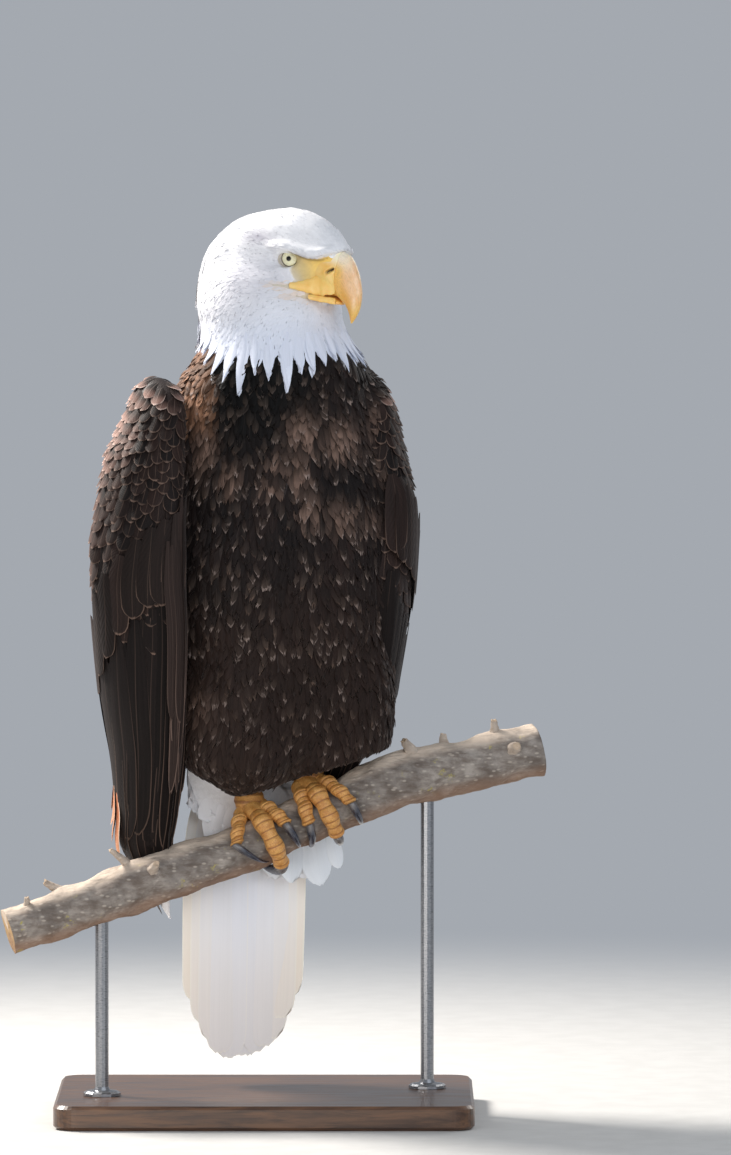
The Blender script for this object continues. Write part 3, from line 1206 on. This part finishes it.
# Rings between an upper and a lower line, in the middle plane of the head.
# By station: upper front, upper up, lower front, lower up, half-width.
HOOK = [
    [0, 87.0, 10.6, 83, -31, 10.8], [1, 94.6, 6.8, 88, -34, 10], [2, 101.0, -2.8, 90.8, -37.6, 8.7],
    [3, 105.6, -15, 92.6, -41.2, 7.2], [4, 107.4, -26.8, 94.2, -45, 5.8], [5, 106, -38, 95, -48.4, 4.3],
    [6, 102, -47, 95.4, -51.4, 2.8], [7, 96.8, -54, 95.6, -54.2, 0.8],
]
CERE = [[0, 66, 16, 64, -25.5, 18], [1, 78, 13, 74, -28, 15.2], [2, 87, 10.4, 82.6, -30.6, 12]]
LOWER_BILL = [
    [0, 31, -16.6, 33, -22, 25.5], [1, 46, -20, 46, -28.5, 22], [2, 58, -23.6, 58, -32, 17.4],
    [3, 70, -28, 70, -35.4, 13], [4, 80, -31.4, 80, -37.4, 8.6], [5, 86, -34.4, 85.6, -37.6, 4],
]
NOSTRIL = (81.4, -6.6)  # in front of the skull's middle, and up


def bill_rings(line, count, around, swell=None):
    """Rings of a part of the bill, with the angle round and the station of each place."""
    stations = np.array(line)[:, 0]
    u = np.linspace(stations[0], stations[-1], count)[:, None]
    a = np.arange(around)[None] * 2 * math.pi / around
    top_front, top_up, low_front, low_up, half = np.moveaxis(between(line)(u), -1, 0)
    share = 0.5 + 0.5 * np.sin(a)
    front = low_front + (top_front - low_front) * share
    up = low_up + (top_up - low_up) * share
    beside = half * np.cos(a) * (1 - 0.12 * np.sin(a))
    if swell is not None:
        front, beside, up = swell(front, beside, up, u, share)
    return from_head(front, beside, up), u, a, share, (front, beside, up)


def build_bill(surface):
    def lip(front, beside, up, u, share):
        """The cutting edge swells a little, and hangs in a shallow lobe behind the hook."""
        edge = np.exp(-((share - 0.06) / 0.07) ** 2)
        lobe = 1.6 * np.exp(-((u - 1.2) / 0.8) ** 2) * (1 - share) ** 3
        return front, beside * (1 + 0.05 * edge), up - lobe

    rings, u, a, share, _ = bill_rings(HOOK, 96, 56, lip)
    p = Paint("horn", Coat_Weight=0.25, Coat_Roughness=0.12, Subsurface_Weight=0.12, Subsurface_Scale=0.004)
    grain = p.noise(1.0, 4.0, 0.6, p.node("CombineXYZ", {
        0: p.math("MULTIPLY", p.number("station"), 3.0), 1: p.math("MULTIPLY", p.number("share"), 26.0), 2: 0.0,
    }).outputs[0])
    cloud = p.noise(90.0, 3.0)
    colour = p.mix(p.remap(p.number("share"), 0.2, 0.75), rgba(236, 176, 80), rgba(246, 206, 164))
    colour = p.mix(p.remap(p.number("station"), 3.4, 6.0), colour, rgba(236, 190, 96))
    colour = p.mix(p.remap(p.number("station"), 1.9, 0.3), colour, rgba(248, 202, 112))
    colour = p.mix(p.remap(cloud, 0.35, 0.75, 0.0, 0.4), colour, rgba(230, 162, 70))
    pale = p.math("MULTIPLY", p.remap(p.number("share"), 0.62, 0.9), p.remap(p.number("station"), 2.4, 0.5))
    colour = p.mix(pale, colour, rgba(255, 240, 214))
    colour = p.mix(1.0, colour, p.remap(grain, 0.3, 0.7, 0.88, 1.06), "MULTIPLY")
    material = p.finish(colour, p.remap(grain, 0.3, 0.7, 0.26, 0.4), grain, 0.25, 0.0004)
    body = Joined()
    body.tube(rings, station=u, share=share)
    made = body.make("bill_hook", material)
    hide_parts("bill_upper")

    rear = [[-1, 54, 11, 55, -22, 10], [0, 66, 14.6, 64, -25.5, 16]] + CERE[1:]

    def nostril(front, beside, up, u, share):
        """A slanting slit sunk in each side, inside a soft rim."""
        along = (front - NOSTRIL[0]) * 0.86 + (up - NOSTRIL[1]) * 0.5
        across = (up - NOSTRIL[1]) * 0.86 - (front - NOSTRIL[0]) * 0.5
        pit = np.exp(-((along / 4.0) ** 4) - (across / 1.4) ** 2)
        rim = np.exp(-((along / 5.4) ** 4) - (across / 2.9) ** 2)
        return front, beside * (1 + 0.12 * rim - 0.36 * pit), up

    rings, u, a, share, (front, beside, up) = bill_rings(rear, 190, 170, nostril)
    along = (front - NOSTRIL[0]) * 0.86 + (up - NOSTRIL[1]) * 0.5
    across = (up - NOSTRIL[1]) * 0.86 - (front - NOSTRIL[0]) * 0.5
    hole = np.exp(-((along / 3.7) ** 4) - (across / 1.25) ** 2)
    p = Paint("cere", Coat_Weight=0.2, Coat_Roughness=0.2, Subsurface_Weight=0.15, Subsurface_Scale=0.004)
    cloud = p.noise(120.0, 4.0)
    colour = p.mix(p.remap(cloud, 0.3, 0.7, 0.0, 0.8), rgba(250, 208, 124), rgba(242, 188, 88))
    colour = p.mix(p.remap(p.number("station"), 1.2, -0.6), colour, rgba(240, 206, 132))
    colour = p.mix(p.remap(p.number("share"), 0.62, 0.88), colour, rgba(255, 242, 212))
    colour = p.mix(p.number("hole"), colour, rgba(40, 22, 12))
    pores = p.cells(1400.0)
    material = p.finish(colour, p.remap(cloud, 0.3, 0.7, 0.3, 0.44), pores, 0.2, 0.0004)
    body = Joined()
    body.tube(rings, share=share, hole=np.clip(hole * 1.3, 0, 1), station=u)
    for side in SIDES.values():
        for line in (GAPE, JAW_EDGE):
            edges, station = gape_rings(surface, line, side)
            body.tube(edges, share=0.1 + 0.35 * station, hole=np.zeros((1, 1)), station=3 * station - 1)
    made = body.make("bill_cere", material)
    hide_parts("cere")

    rings, u, a, share, _ = bill_rings(LOWER_BILL, 60, 40)
    p = Paint("lower_horn", Coat_Weight=0.15, Coat_Roughness=0.2, Subsurface_Weight=0.12, Subsurface_Scale=0.004)
    cloud = p.noise(100.0, 4.0)
    colour = p.mix(p.remap(cloud, 0.3, 0.7), rgba(234, 164, 78), rgba(246, 196, 104))
    colour = p.mix(p.remap(p.number("station"), 1.2, 0.0), colour, rgba(228, 178, 70))
    material = p.finish(colour, 0.4, cloud, 0.2, 0.0005)
    body = Joined()
    body.tube(rings, station=u)
    made = body.make("bill_jaw", material)
    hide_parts("bill_lower")


# The fleshy edges of the mouth: in front of the skull's middle, beside, up, half-height and half-thickness.
GAPE = [
    [0, 35, 31, -18.2, 0.3, 0.5], [1, 40, 30.5, -18.9, 1.0, 1.3], [2, 47, 29, -19.8, 2.3, 2.1],
    [3, 55, 26, -20.5, 4.2, 2.7], [4, 64, 21.4, -20.6, 7.0, 2.9], [5, 73, 16.8, -19.6, 9.8, 2.6],
    [6, 84, 8.4, -17, 10.5, 1.2],
]
JAW_EDGE = [
    [0, 45, 27, -27, 0.4, 0.6], [1, 54, 25, -28.4, 1.3, 1.5], [2, 63, 20, -30.2, 2.3, 2.0],
    [3, 73, 14.6, -32.2, 2.8, 1.8], [4, 84, 8, -34.4, 2.8, 1.0],
]


def by_gape(points):
    """How far inside the bare edges of the mouth a place is, in millimetres; outside, below zero."""
    front, _, up = to_head(points).T
    inside = np.full(len(front), -99.0)
    for line, start in ((GAPE, 37), (JAW_EDGE, 50)):
        _, middle, tall, _ = between([[row[1], *row[2:]] for row in line])(front).T
        depth = np.minimum(tall - np.abs(up - middle), front - start)
        inside = np.maximum(inside, depth)
    return inside


def gape_rings(surface, line, side):
    u = np.linspace(line[0][0], line[-1][0], 60)[:, None]
    a = np.arange(28)[None] * 2 * math.pi / 28
    front, beside, up, tall, thick = np.moveaxis(between(line)(u), -1, 0)
    outward = Vector(from_head(0, side, 0) - from_head(0, 0, 0))
    for row in range(60):
        hit = surface.tree.ray_cast(Vector(from_head(front[row, 0], 0, up[row, 0])), outward)
        if hit[0] is not None and front[row, 0] < 76:
            beside[row] = min(abs(to_head(np.array(hit[0]))[1]), beside[row, 0] + 5) + 1.1 - 0.5 * thick[row, 0]
    kernel = np.ones(7) / 7
    beside = np.convolve(np.pad(beside[:, 0], 3, "edge"), kernel, "valid")[:, None]
    wave = 1 + 0.05 * np.sin(u * 9)
    return from_head(front, side * (beside + thick * np.cos(a)), up + tall * wave * np.sin(a)), u / line[-1][0]


# ---- Eyes ----------------------------------------------------------------------------------------------------

EYE_RADIUS = 9.3
EYE_AXIS = (0.42, 0.905, -0.02)  # forward, outward and up
PUPIL, IRIS = 12.5, 47.5  # degrees from the eye's axis


def eye_frame(side):
    seat = from_head(42.6, side * 20.0, 4.3)
    origin = from_head(0, 0, 0)
    axis = unit(from_head(EYE_AXIS[0], side * EYE_AXIS[1], EYE_AXIS[2]) - origin)
    up = unit(np.array([0.0, 0.0, 1.0]) - axis[2] * axis)
    forward = unit(from_head(1, 0, 0) - origin)
    forward = unit(forward - (forward @ axis) * axis)
    return seat, axis, forward, up


def build_eyes():
    p = Paint("eyeball", Coat_Weight=0.3, Coat_Roughness=0.02, Roughness=0.3, Specular_IOR_Level=0.12)
    ring = p.number("ring")
    spokes = p.noise(1.0, 4.0, 0.65, p.node("CombineXYZ", {
        0: p.math("MULTIPLY", p.number("round_x"), 9.0), 1: p.math("MULTIPLY", p.number("round_y"), 9.0),
        2: p.math("MULTIPLY", ring, 0.06),
    }).outputs[0])
    colour = p.mix(p.remap(spokes, 0.3, 0.72), rgba(226, 218, 170), rgba(252, 250, 226))
    colour = p.mix(p.remap(ring, PUPIL + 7, PUPIL, 0.0, 0.45), colour, rgba(150, 140, 104))
    colour = p.mix(p.remap(ring, IRIS - 6, IRIS - 0.5, 0.0, 0.6), colour, rgba(150, 138, 92))
    colour = p.mix(p.remap(ring, PUPIL + 1.2, PUPIL - 0.6), colour, rgba(8, 8, 10))
    colour = p.mix(p.remap(ring, IRIS - 0.6, IRIS + 1.6), colour, rgba(40, 32, 26))
    material = p.finish(colour)
    for name, side in SIDES.items():
        seat, axis, forward, up = eye_frame(side)
        theta = np.radians(np.linspace(0, 128, 72))[:, None]
        turn = np.arange(72)[None] * 2 * math.pi / 72
        bulge = EYE_RADIUS + 0.45 * (1 - ease(np.degrees(theta), 8, 48))
        out = np.cos(theta) * bulge
        aside = np.sin(theta) * bulge
        rings = (
            seat + axis * out[..., None] + forward * (aside * np.cos(turn))[..., None]
            + up * (aside * np.sin(turn))[..., None]
        )
        body = Joined()
        body.tube(rings, ring=np.degrees(theta), round_x=np.cos(turn), round_y=np.sin(turn))
        made = body.make(f"eyeball_{name}", material)
        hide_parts(f"eye_{name}")


# Round the eye's opening, from its front over its top: degrees from the eye's axis.
OPENING = [
    [0, 58], [22, 52], [55, 47], [90, 45], [120, 47], [160, 51], [190, 51.5], [230, 50], [270, 49.5], [315, 51],
    [342, 56], [360, 58],
]


def build_lids():
    p = Paint("lids", Specular_IOR_Level=0.4)
    folds = p.noise(420.0, 4.0, 0.6)
    colour = p.mix(p.remap(folds, 0.3, 0.7), rgba(172, 162, 146), rgba(210, 202, 188))
    colour = p.mix(p.remap(p.number("from_edge"), 0.13, 0.05), colour, rgba(62, 48, 40))
    corner = p.math("MULTIPLY", p.number("corner"), p.remap(p.number("from_edge"), 0.55, 0.15))
    colour = p.mix(corner, colour, rgba(84, 58, 42))
    height = p.math("ADD", folds, p.math("MULTIPLY", p.math("SINE", p.math("MULTIPLY", p.number("from_edge"), 34.0)), 0.35))
    material = p.finish(colour, 0.5, height, 0.45, 0.0006)
    for name, side in SIDES.items():
        seat, axis, forward, up = eye_frame(side)
        turn = np.arange(96)[None] * 2 * math.pi / 96
        opening = between(OPENING)(np.degrees(turn))[..., 0]
        share = np.linspace(0, 1, 26)[:, None]
        degrees = opening + 46 * share**1.25
        reach = EYE_RADIUS - 0.5 + 1.5 * ease(share, 0.0, 0.16) + 2.4 * ease(share, 0.2, 0.75) - 3.6 * ease(share, 0.7, 1)
        theta = np.radians(degrees)
        rings = (
            seat + axis * (reach * np.cos(theta))[..., None]
            + forward * (reach * np.sin(theta) * np.cos(turn))[..., None]
            + up * (reach * np.sin(theta) * np.sin(turn))[..., None]
        )
        made = make(f"lids_{name}", rings, sheet_faces(26, 96, True), material, {
            "from_edge": share + 0 * turn,
            "corner": 0 * share + np.exp(-((np.angle(np.exp(1j * (turn + 0.15))) / 0.34) ** 2)),
        })


# ---- Feet ----------------------------------------------------------------------------------------------------

branch = between([
    [-241, 171, 20.5], [-173, 192, 21], [-105, 217, 23.5], [-23, 244, 22], [32, 268, 22], [123, 305, 25.5],
    [187, 318, 24], [268, 335, 24.5],
])
PERCH_START, PERCH_END, PERCH_TURN = -232, 250, math.radians(12)
# Each toe: where it starts and ends along the branch, the angle round it where it ends, its size, the claw's drift.
TOES = {
    "right": {"outer": (-9, -28, 72, 0.95, 22), "middle": (-1, 2, 150, 1.1, -14), "inner": (6, 17, 74, 0.95, 5), "hind": (-2, -6, -88, 1.1, -4)},
    "left": {"inner": (43, 34, 92, 0.95, -4), "middle": (50, 53, 136, 1.08, 3), "outer": (57, 73, 88, 0.92, 4), "hind": (50, 54, -88, 1.1, 4)},
}
BALLS = {"right": -2, "left": 50}
TOE_HALF, CLAW_HALF, CLAW_ARC = 8, 6.2, 66


def branch_point(x):
    x = np.asarray(x, float)
    return np.stack([x, x * math.tan(PERCH_TURN), branch(x)[..., 0]], -1)


def branch_axes(x):
    along = unit(branch_point(np.asarray(x) + 4.0) - branch_point(np.asarray(x) - 4.0))
    front = -unit(np.cross([0.0, 0.0, 1.0], along))
    top = unit(np.cross(front, along))
    return along, front, top * np.sign(top[..., 2:])


def on_branch(x, degrees, out):
    along, front, top = branch_axes(x)
    angle = np.radians(degrees)
    reach = branch(x)[..., 1] + out
    return branch_point(x) + top * (reach * np.cos(angle))[..., None] + front * (reach * np.sin(angle))[..., None]


def grip_rings(x, degrees, out, wide, tall, around, relief=None):
    """Rings along a path round the branch, with two half-sizes: along the branch and out from it."""
    centre = on_branch(x, degrees, out)
    outward = unit(on_branch(x, degrees, out + 1) - centre)
    along = branch_axes(x)[0]
    a = np.arange(around) * 2 * math.pi / around
    grow = 0 if relief is None else relief(a[None])
    side = along[:, None] * ((wide[:, None] + grow) * np.cos(a)[None])[..., None]
    return centre[:, None] + side + outward[:, None] * ((tall[:, None] + grow) * np.sin(a)[None])[..., None]


def build_feet():
    p = Paint("toes", Specular_IOR_Level=0.45, Coat_Weight=0.12, Coat_Roughness=0.35)
    cloud = p.noise(160.0, 4.0)
    scale_edges = p.cells(620.0, feature="DISTANCE_TO_EDGE")
    colour = p.mix(p.remap(cloud, 0.3, 0.7), rgba(190, 130, 64), rgba(222, 168, 96))
    colour = p.mix(p.remap(p.number("groove"), 0.35, 1.0, 0.0, 0.75), colour, rgba(112, 62, 30))
    colour = p.mix(p.remap(scale_edges, 0.12, 0.0, 0.0, 0.5), colour, rgba(150, 92, 42))
    height = p.math("MINIMUM", scale_edges, 0.25)
    material = p.finish(colour, p.remap(cloud, 0.3, 0.7, 0.38, 0.55), height, 0.5, 0.0015)
    for name, side in SIDES.items():
        body = Joined()
        for start, end, last, size, _ in TOES[name].values():
            t = np.linspace(0, 1, 84)
            pads = 1 + 0.10 * np.cos(t * 6 * math.pi)
            half = TOE_HALF * size * (1.02 - 0.17 * t) * pads * (1 - 0.3 * ease(t, 0.94, 1.0))
            plate = (t * 11.0) % 1.0
            groove = np.exp(-((np.minimum(plate, 1 - plate) / 0.13) ** 2)) * ease(t, 0.05, 0.2)

            def scutes(a, groove=groove, t=t):
                above = ease(np.sin(a), 0.05, 0.6)
                under = ease(-np.sin(a), 0.2, 0.8)
                pad = np.sin(t[:, None] * 40) * 0.25
                return 0.35 * above - 0.95 * groove[:, None] * above + under * pad

            path = (start + (end - start) * t**0.8, last * (0.04 + 0.96 * t), half * 0.9)
            rings = grip_rings(*path, half * 0.97, half * 0.9, 36, scutes)
            shade = groove[:, None] * ease(np.sin(np.arange(36) * math.pi / 18), 0.0, 0.5)[None]
            body.tube(rings, groove=shade)
        foot = on_branch(BALLS[name], 0, 7)
        start = foot + [side * 4, 12, 44]
        u = np.linspace(0, 1, 30)
        sizes = between([[0, 12, 11], [0.25, 14, 12], [0.5, 10, 9.5], [1, 9, 9]])(u)
        centre = foot + (start - foot) * u[:, None] - np.array([0, 0, 5.0]) * (1 - ease(u, 0, 0.2))[:, None]
        a = np.arange(32) * 2 * math.pi / 32
        ripple = 1 + 0.03 * np.sin(u * 40)
        rings = centre[:, None] + np.stack([
            (sizes[:, 0] * ripple)[:, None] * np.cos(a), (sizes[:, 1] * ripple)[:, None] * np.sin(a), 0 * a + 0 * u[:, None]
        ], -1)
        body.tube(rings, groove=0.5 + 0.5 * np.sin(u * 40)[:, None])
        made = body.make(f"toes_{name}", material)
        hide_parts(f"foot_{name}")


def build_claws():
    p = Paint("claws", Coat_Weight=0.5, Coat_Roughness=0.15)
    grain = p.noise(1.0, 4.0, 0.6, p.node("CombineXYZ", {
        0: p.math("MULTIPLY", p.number("station"), 4.0), 1: p.math("MULTIPLY", p.number("turn"), 5.0), 2: 0.0,
    }).outputs[0])
    colour = p.mix(p.remap(grain, 0.3, 0.7), rgba(30, 31, 38), rgba(70, 74, 88))
    colour = p.mix(p.remap(p.number("station"), 0.16, 0.0), colour, rgba(96, 92, 92))
    material = p.finish(colour, p.remap(grain, 0.3, 0.7, 0.22, 0.36), grain, 0.25, 0.0004)
    for name in SIDES:
        body = Joined()
        for _, end, last, size, drift in TOES[name].values():
            t = np.linspace(-0.08, 1, 48)
            kept = np.clip(t, 0, 1)
            half = CLAW_HALF * size * (1 - 0.94 * kept**1.35) * (1 - 0.10 * (1 - ease(t, -0.08, 0.06)))
            path = (end + drift * t, last + math.copysign(1, last) * (4 + CLAW_ARC * t), 6.5 * size * (1 - kept**2) + 1)
            rings = grip_rings(*path, 0.74 * half, half, 24)
            body.tube(rings, station=kept[:, None], turn=np.sin(np.arange(24) * math.pi / 12)[None])
        made = body.make(f"claws_{name}", material)
        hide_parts(*[f"claw_{name}_{toe}" for toe in TOES[name]])


# ---- Perch and stand -----------------------------------------------------------------------------------------

# Broken side twigs: place along the branch, angle from its top towards its front, lean along it, length, radius.
STUBS = [
    (-176, -8, -0.9, 17, 4.5), (-116, 12, -0.6, 22, 3.6), (-104, 62, 0.3, 14, 5), (-212, 20, 0.2, 7, 3.4),
    (138, 10, -0.4, 12, 5.5), (168, -20, 0.2, 9, 5), (214, 5, 0.1, 12, 4.5), (224, 70, 0.1, 10, 6),
]


def bark_relief(x, a, centre):
    lumps = 0.9 * np.sin(3 * a + x / 15) + 0.7 * np.sin(2 * a - x / 9) + 0.6 * np.sin(5 * a + x / 6)
    fine = 0.55 * noise(centre, 7) + 0.3 * noise(centre + 50, 3)
    cracks = -0.5 * np.clip(noise(centre * [0.25, 1, 1] + 90, 3.2) - 0.35, 0, 1)
    collars = 0
    for place, angle, _, _, radius in STUBS:
        round_ = (a - math.radians(angle) + math.pi) % (2 * math.pi) - math.pi
        collars = collars + 1.6 * np.exp(-(((x - place) / (radius * 1.9)) ** 2) - (round_ * 23 / (radius * 1.7)) ** 2)
    return lumps + fine + cracks + collars


def build_perch():
    p = Paint("bark", Specular_IOR_Level=0.25)
    stretched = p.place((0.35, 1.0, 1.0))
    broad = p.noise(38.0, 4.0, 0.6)
    streaks = p.noise(160.0, 5.0, 0.65, stretched)
    flecks = p.cells(210.0, p.place((0.5, 1.0, 1.0)))
    lichen = p.noise(70.0, 5.0, 0.7)
    colour = p.mix(p.remap(broad, 0.32, 0.68), rgba(112, 104, 98), rgba(160, 152, 144))
    colour = p.mix(p.remap(streaks, 0.35, 0.7, 0.0, 0.75), colour, rgba(92, 80, 72))
    colour = p.mix(p.remap(flecks, 0.30, 0.12, 0.0, 0.5), colour, rgba(190, 180, 168))
    colour = p.mix(p.math("MULTIPLY", p.remap(lichen, 0.60, 0.68), p.remap(broad, 0.4, 0.6)), colour, rgba(168, 158, 84))
    colour = p.mix(p.number("cut"), colour, rgba(186, 154, 112))
    rings_ = p.math("SINE", p.math("MULTIPLY", p.number("radius"), 2.6))
    colour = p.mix(p.math("MULTIPLY", p.number("cut"), p.remap(rings_, -0.4, 1.0, 0.0, 0.55)), colour, rgba(134, 98, 62))
    lit = p.math("MULTIPLY", p.number("above"), p.remap(broad, 0.25, 0.6, 0.45, 1.0))
    colour = p.mix(lit, colour, rgba(214, 196, 178))
    shade = p.math("MULTIPLY", p.number("below"), 0.6)
    colour = p.mix(shade, colour, rgba(146, 112, 88))
    height = p.math("ADD", p.math("MULTIPLY", streaks, 1.2), p.math("MULTIPLY", flecks, -0.6))
    material = p.finish(colour, p.remap(streaks, 0.3, 0.7, 0.72, 0.9), height, 0.7, 0.0022)
    body = Joined()
    around = 84
    a = np.arange(around)[None] * 2 * math.pi / around
    x = np.linspace(PERCH_START, PERCH_END, 330)[:, None]
    along, front, top = branch_axes(x[:, 0])
    radius = branch(x[:, 0])[:, 1][:, None]
    direction = top[:, None] * np.cos(a)[..., None] + front[:, None] * np.sin(a)[..., None]
    centre = branch_point(x[:, 0])[:, None]
    reach = radius + bark_relief(x, a, centre + direction * radius[..., None])
    rings = centre + direction * reach[..., None]
    shrink = np.array([0.05, 0.3, 0.6, 0.85, 0.97])
    first = centre[0] + (rings[0] - centre[0])[None] * shrink[:, None, None]
    last = centre[-1] + (rings[-1] - centre[-1])[None] * shrink[::-1, None, None]
    rings = np.concatenate([first, rings, last])
    cut = np.concatenate([np.ones(5), np.zeros(330), np.ones(5)])[:, None]
    inner = np.concatenate([shrink * 21, np.full(330, 21), shrink[::-1] * 24])[:, None]
    body.tube(rings, cut=cut, radius=inner, above=ease(np.cos(a), 0.55, 0.95), below=ease(-np.cos(a), 0.3, 0.9))
    for place, angle, lean, length, size in STUBS:
        along, front, top = branch_axes(float(place))
        turn = math.radians(angle)
        out = top * math.cos(turn) + front * math.sin(turn)
        axis = unit(out + along * lean)
        sideways = unit(np.cross(along, axis))
        across = np.cross(axis, sideways)
        foot = branch_point(float(place)) + out * (branch(float(place))[1] - 4)
        t = np.concatenate([np.linspace(0, 1, 22), [1.0, 1.0]])
        wide = size * (1.5 - 0.9 * t**0.6)
        wide[-2:] *= [0.6, 0.1]
        b = np.arange(20) * 2 * math.pi / 20
        spot = foot + axis * (t * (length + 4))[:, None]
        round_ = sideways * np.cos(b)[:, None] + across * np.sin(b)[:, None]
        places = spot[:, None] + round_[None] * wide[:, None, None]
        rough = 1 + 0.16 * noise(places, 2.5)
        snapped = 1.6 * noise(places + 30, 1.8) * (t > 0.98)[:, None]
        places = spot[:, None] + round_[None] * (wide[:, None] * rough)[..., None] + axis * snapped[..., None]
        lit = np.zeros((1, 1))
        body.tube(places, cut=(t > 0.985)[:, None] * 0.6, radius=wide[:, None], above=lit + 0.5, below=lit)
    made = body.make("perch_bark", material)
    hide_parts("perch")


def dress(name, material, bevel=0.0):
    made = frame["nodes"][name]
    made.data.materials.clear()
    made.data.materials.append(material)
    if bevel:
        edge = made.modifiers.new("soft_edge", "BEVEL")
        edge.width = bevel
        edge.segments = 3


def build_stand():
    p = Paint("stand_wood", Coat_Weight=0.3, Coat_Roughness=0.2)
    grain = p.noise(26.0, 6.0, 0.65, p.place((0.6, 6.0, 6.0)), 0.6)
    pores = p.noise(300.0, 3.0, 0.6, p.place((0.08, 1.0, 1.0)))
    colour = p.mix(p.remap(grain, 0.3, 0.7), rgba(58, 38, 27), rgba(104, 72, 48))
    colour = p.mix(p.remap(pores, 0.55, 0.7, 0.0, 0.5), colour, rgba(38, 25, 18))
    dress("stand_base", p.finish(colour, p.remap(grain, 0.3, 0.7, 0.32, 0.46), pores, 0.15, 0.0004), 0.0015)
    p = Paint("rod_steel", Metallic=0.9)
    brushed = p.noise(240.0, 3.0, 0.6, p.place((1.0, 1.0, 12.0)))
    colour = p.mix(p.remap(brushed, 0.3, 0.7), rgba(120, 122, 126), rgba(158, 160, 164))
    material = p.finish(colour, p.remap(brushed, 0.3, 0.7, 0.26, 0.4), brushed, 0.1, 0.0003)
    for end in ("left", "right"):
        dress(f"stand_rod_{end}", material)


# ---- Room ----------------------------------------------------------------------------------------------------


def build_room():
    world = bpy.data.worlds.new("studio")
    bpy.context.scene.world = world
    world.use_nodes = True
    background = world.node_tree.nodes["Background"]
    background.inputs["Color"].default_value = (0.60, 0.64, 0.70, 1)
    background.inputs["Strength"].default_value = 0.62
    count = 96
    angles = np.arange(count) * 2 * math.pi / count
    radii = np.array([0.0, 300, 700, 1400, 2600, 4500, 9000])
    points = np.stack([
        radii[:, None] * np.cos(angles), radii[:, None] * np.sin(angles), np.full((len(radii), count), -0.4)
    ], -1)
    p = Paint("floor", Specular_IOR_Level=0.2)
    speckle = p.noise(30.0, 3.0)
    colour = p.mix(p.remap(speckle, 0.3, 0.7), (0.60, 0.59, 0.57, 1), (0.64, 0.63, 0.61, 1))
    material = p.finish(colour, 0.8)
    floor = make("floor", points, sheet_faces(len(radii), count, True), material)
    floor.parent = None
    del floor["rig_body"]
    fade = p.node("Emission", {"Color": (0.60, 0.64, 0.70, 1), "Strength": 0.62})
    where = p.node("SeparateXYZ", {0: p.place()})
    x, y = where.outputs[0], where.outputs[1]
    reach = p.math("SQRT", p.math("ADD", p.math("MULTIPLY", x, x), p.math("MULTIPLY", y, y)))
    share = p.remap(reach, 0.35, 1.9)
    mixed = p.node("MixShader", {0: share, 1: p.shader.outputs[0], 2: fade.outputs[0]})
    output = p.tree.nodes["Material Output"]
    p.tree.links.new(mixed.outputs[0], output.inputs["Surface"])


def add_light(name, place, target, size, power, colour):
    light = bpy.data.lights.new(name, "AREA")
    light.shape = "DISK"
    light.size = size
    light.energy = power
    light.color = colour
    made = bpy.data.objects.new(name, light)
    made.location = place
    made.rotation_euler = (Vector(target) - Vector(place)).to_track_quat("-Z", "Y").to_euler()
    bpy.context.scene.collection.objects.link(made)
    return made


def build_lights():
    aim = (0, 0, 0.5)
    add_light("key", (-1.9, 1.1, 2.4), aim, 1.0, 180, (1.0, 0.95, 0.89))
    add_light("fill", (1.2, -2.7, 1.5), aim, 2.2, 34, (0.87, 0.93, 1.0))
    add_light("bounce", (-0.5, -1.6, 0.12), (0, 0, 0.2), 0.9, 9, (1.0, 0.94, 0.88))
    add_light("rim", (1.6, 1.9, 1.6), aim, 1.2, 14, (1.0, 0.96, 0.9))


def build_camera():
    data = bpy.data.cameras.new("camera")
    camera = bpy.data.objects.new("camera", data)
    bpy.context.scene.collection.objects.link(camera)
    bpy.context.scene.camera = camera
    aim = Vector((0.0915, 0.0, 0.492))
    rise = math.radians(3)
    distance = 8.0
    camera.location = aim + Vector((0, -math.cos(rise), math.sin(rise))) * distance
    camera.rotation_euler = (aim - camera.location).to_track_quat("-Z", "Y").to_euler()
    data.sensor_fit = "AUTO"
    data.sensor_width = 36
    data.lens = 36 * distance / 1.051
    data.clip_end = 60


# ---- Assembly ------------------------------------------------------------------------------------------------

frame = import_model()

body_surface = build_skin()
white_paint = feather_paint("white_feathers", 0.75, 0.15, 60.0, 0.05, 0.15, 0.1)
tail_paint = feather_paint("tail_feathers", 0.6, 0.25, 200.0, 0.02, 0.05, 0.0)
brown_paint = feather_paint("brown_feathers", 0.62, 0.14, 60.0, 0.3)
flight_paint = feather_paint("flight_feathers", 0.6, 0.1, 240.0, 0.3)
build_head_coat(body_surface, white_paint)
build_body_coat(body_surface, brown_paint, "coat_breast", 30, lambda bird: bird[:, 1] < -6)
build_body_coat(body_surface, brown_paint, "coat_back", 35, lambda bird: bird[:, 1] >= -6)
for _side in SIDES:
    build_flight(_side, flight_paint)
    build_wing_coverts(body_surface, _side, brown_paint)
build_tail(tail_paint)
build_vent(body_surface, tail_paint)

build_bill(body_surface)
build_eyes()
build_lids()
build_feet()
build_claws()
build_perch()
build_stand()
build_room()
build_lights()
build_camera()
bpy.context.scene.view_settings.view_transform = "Standard"
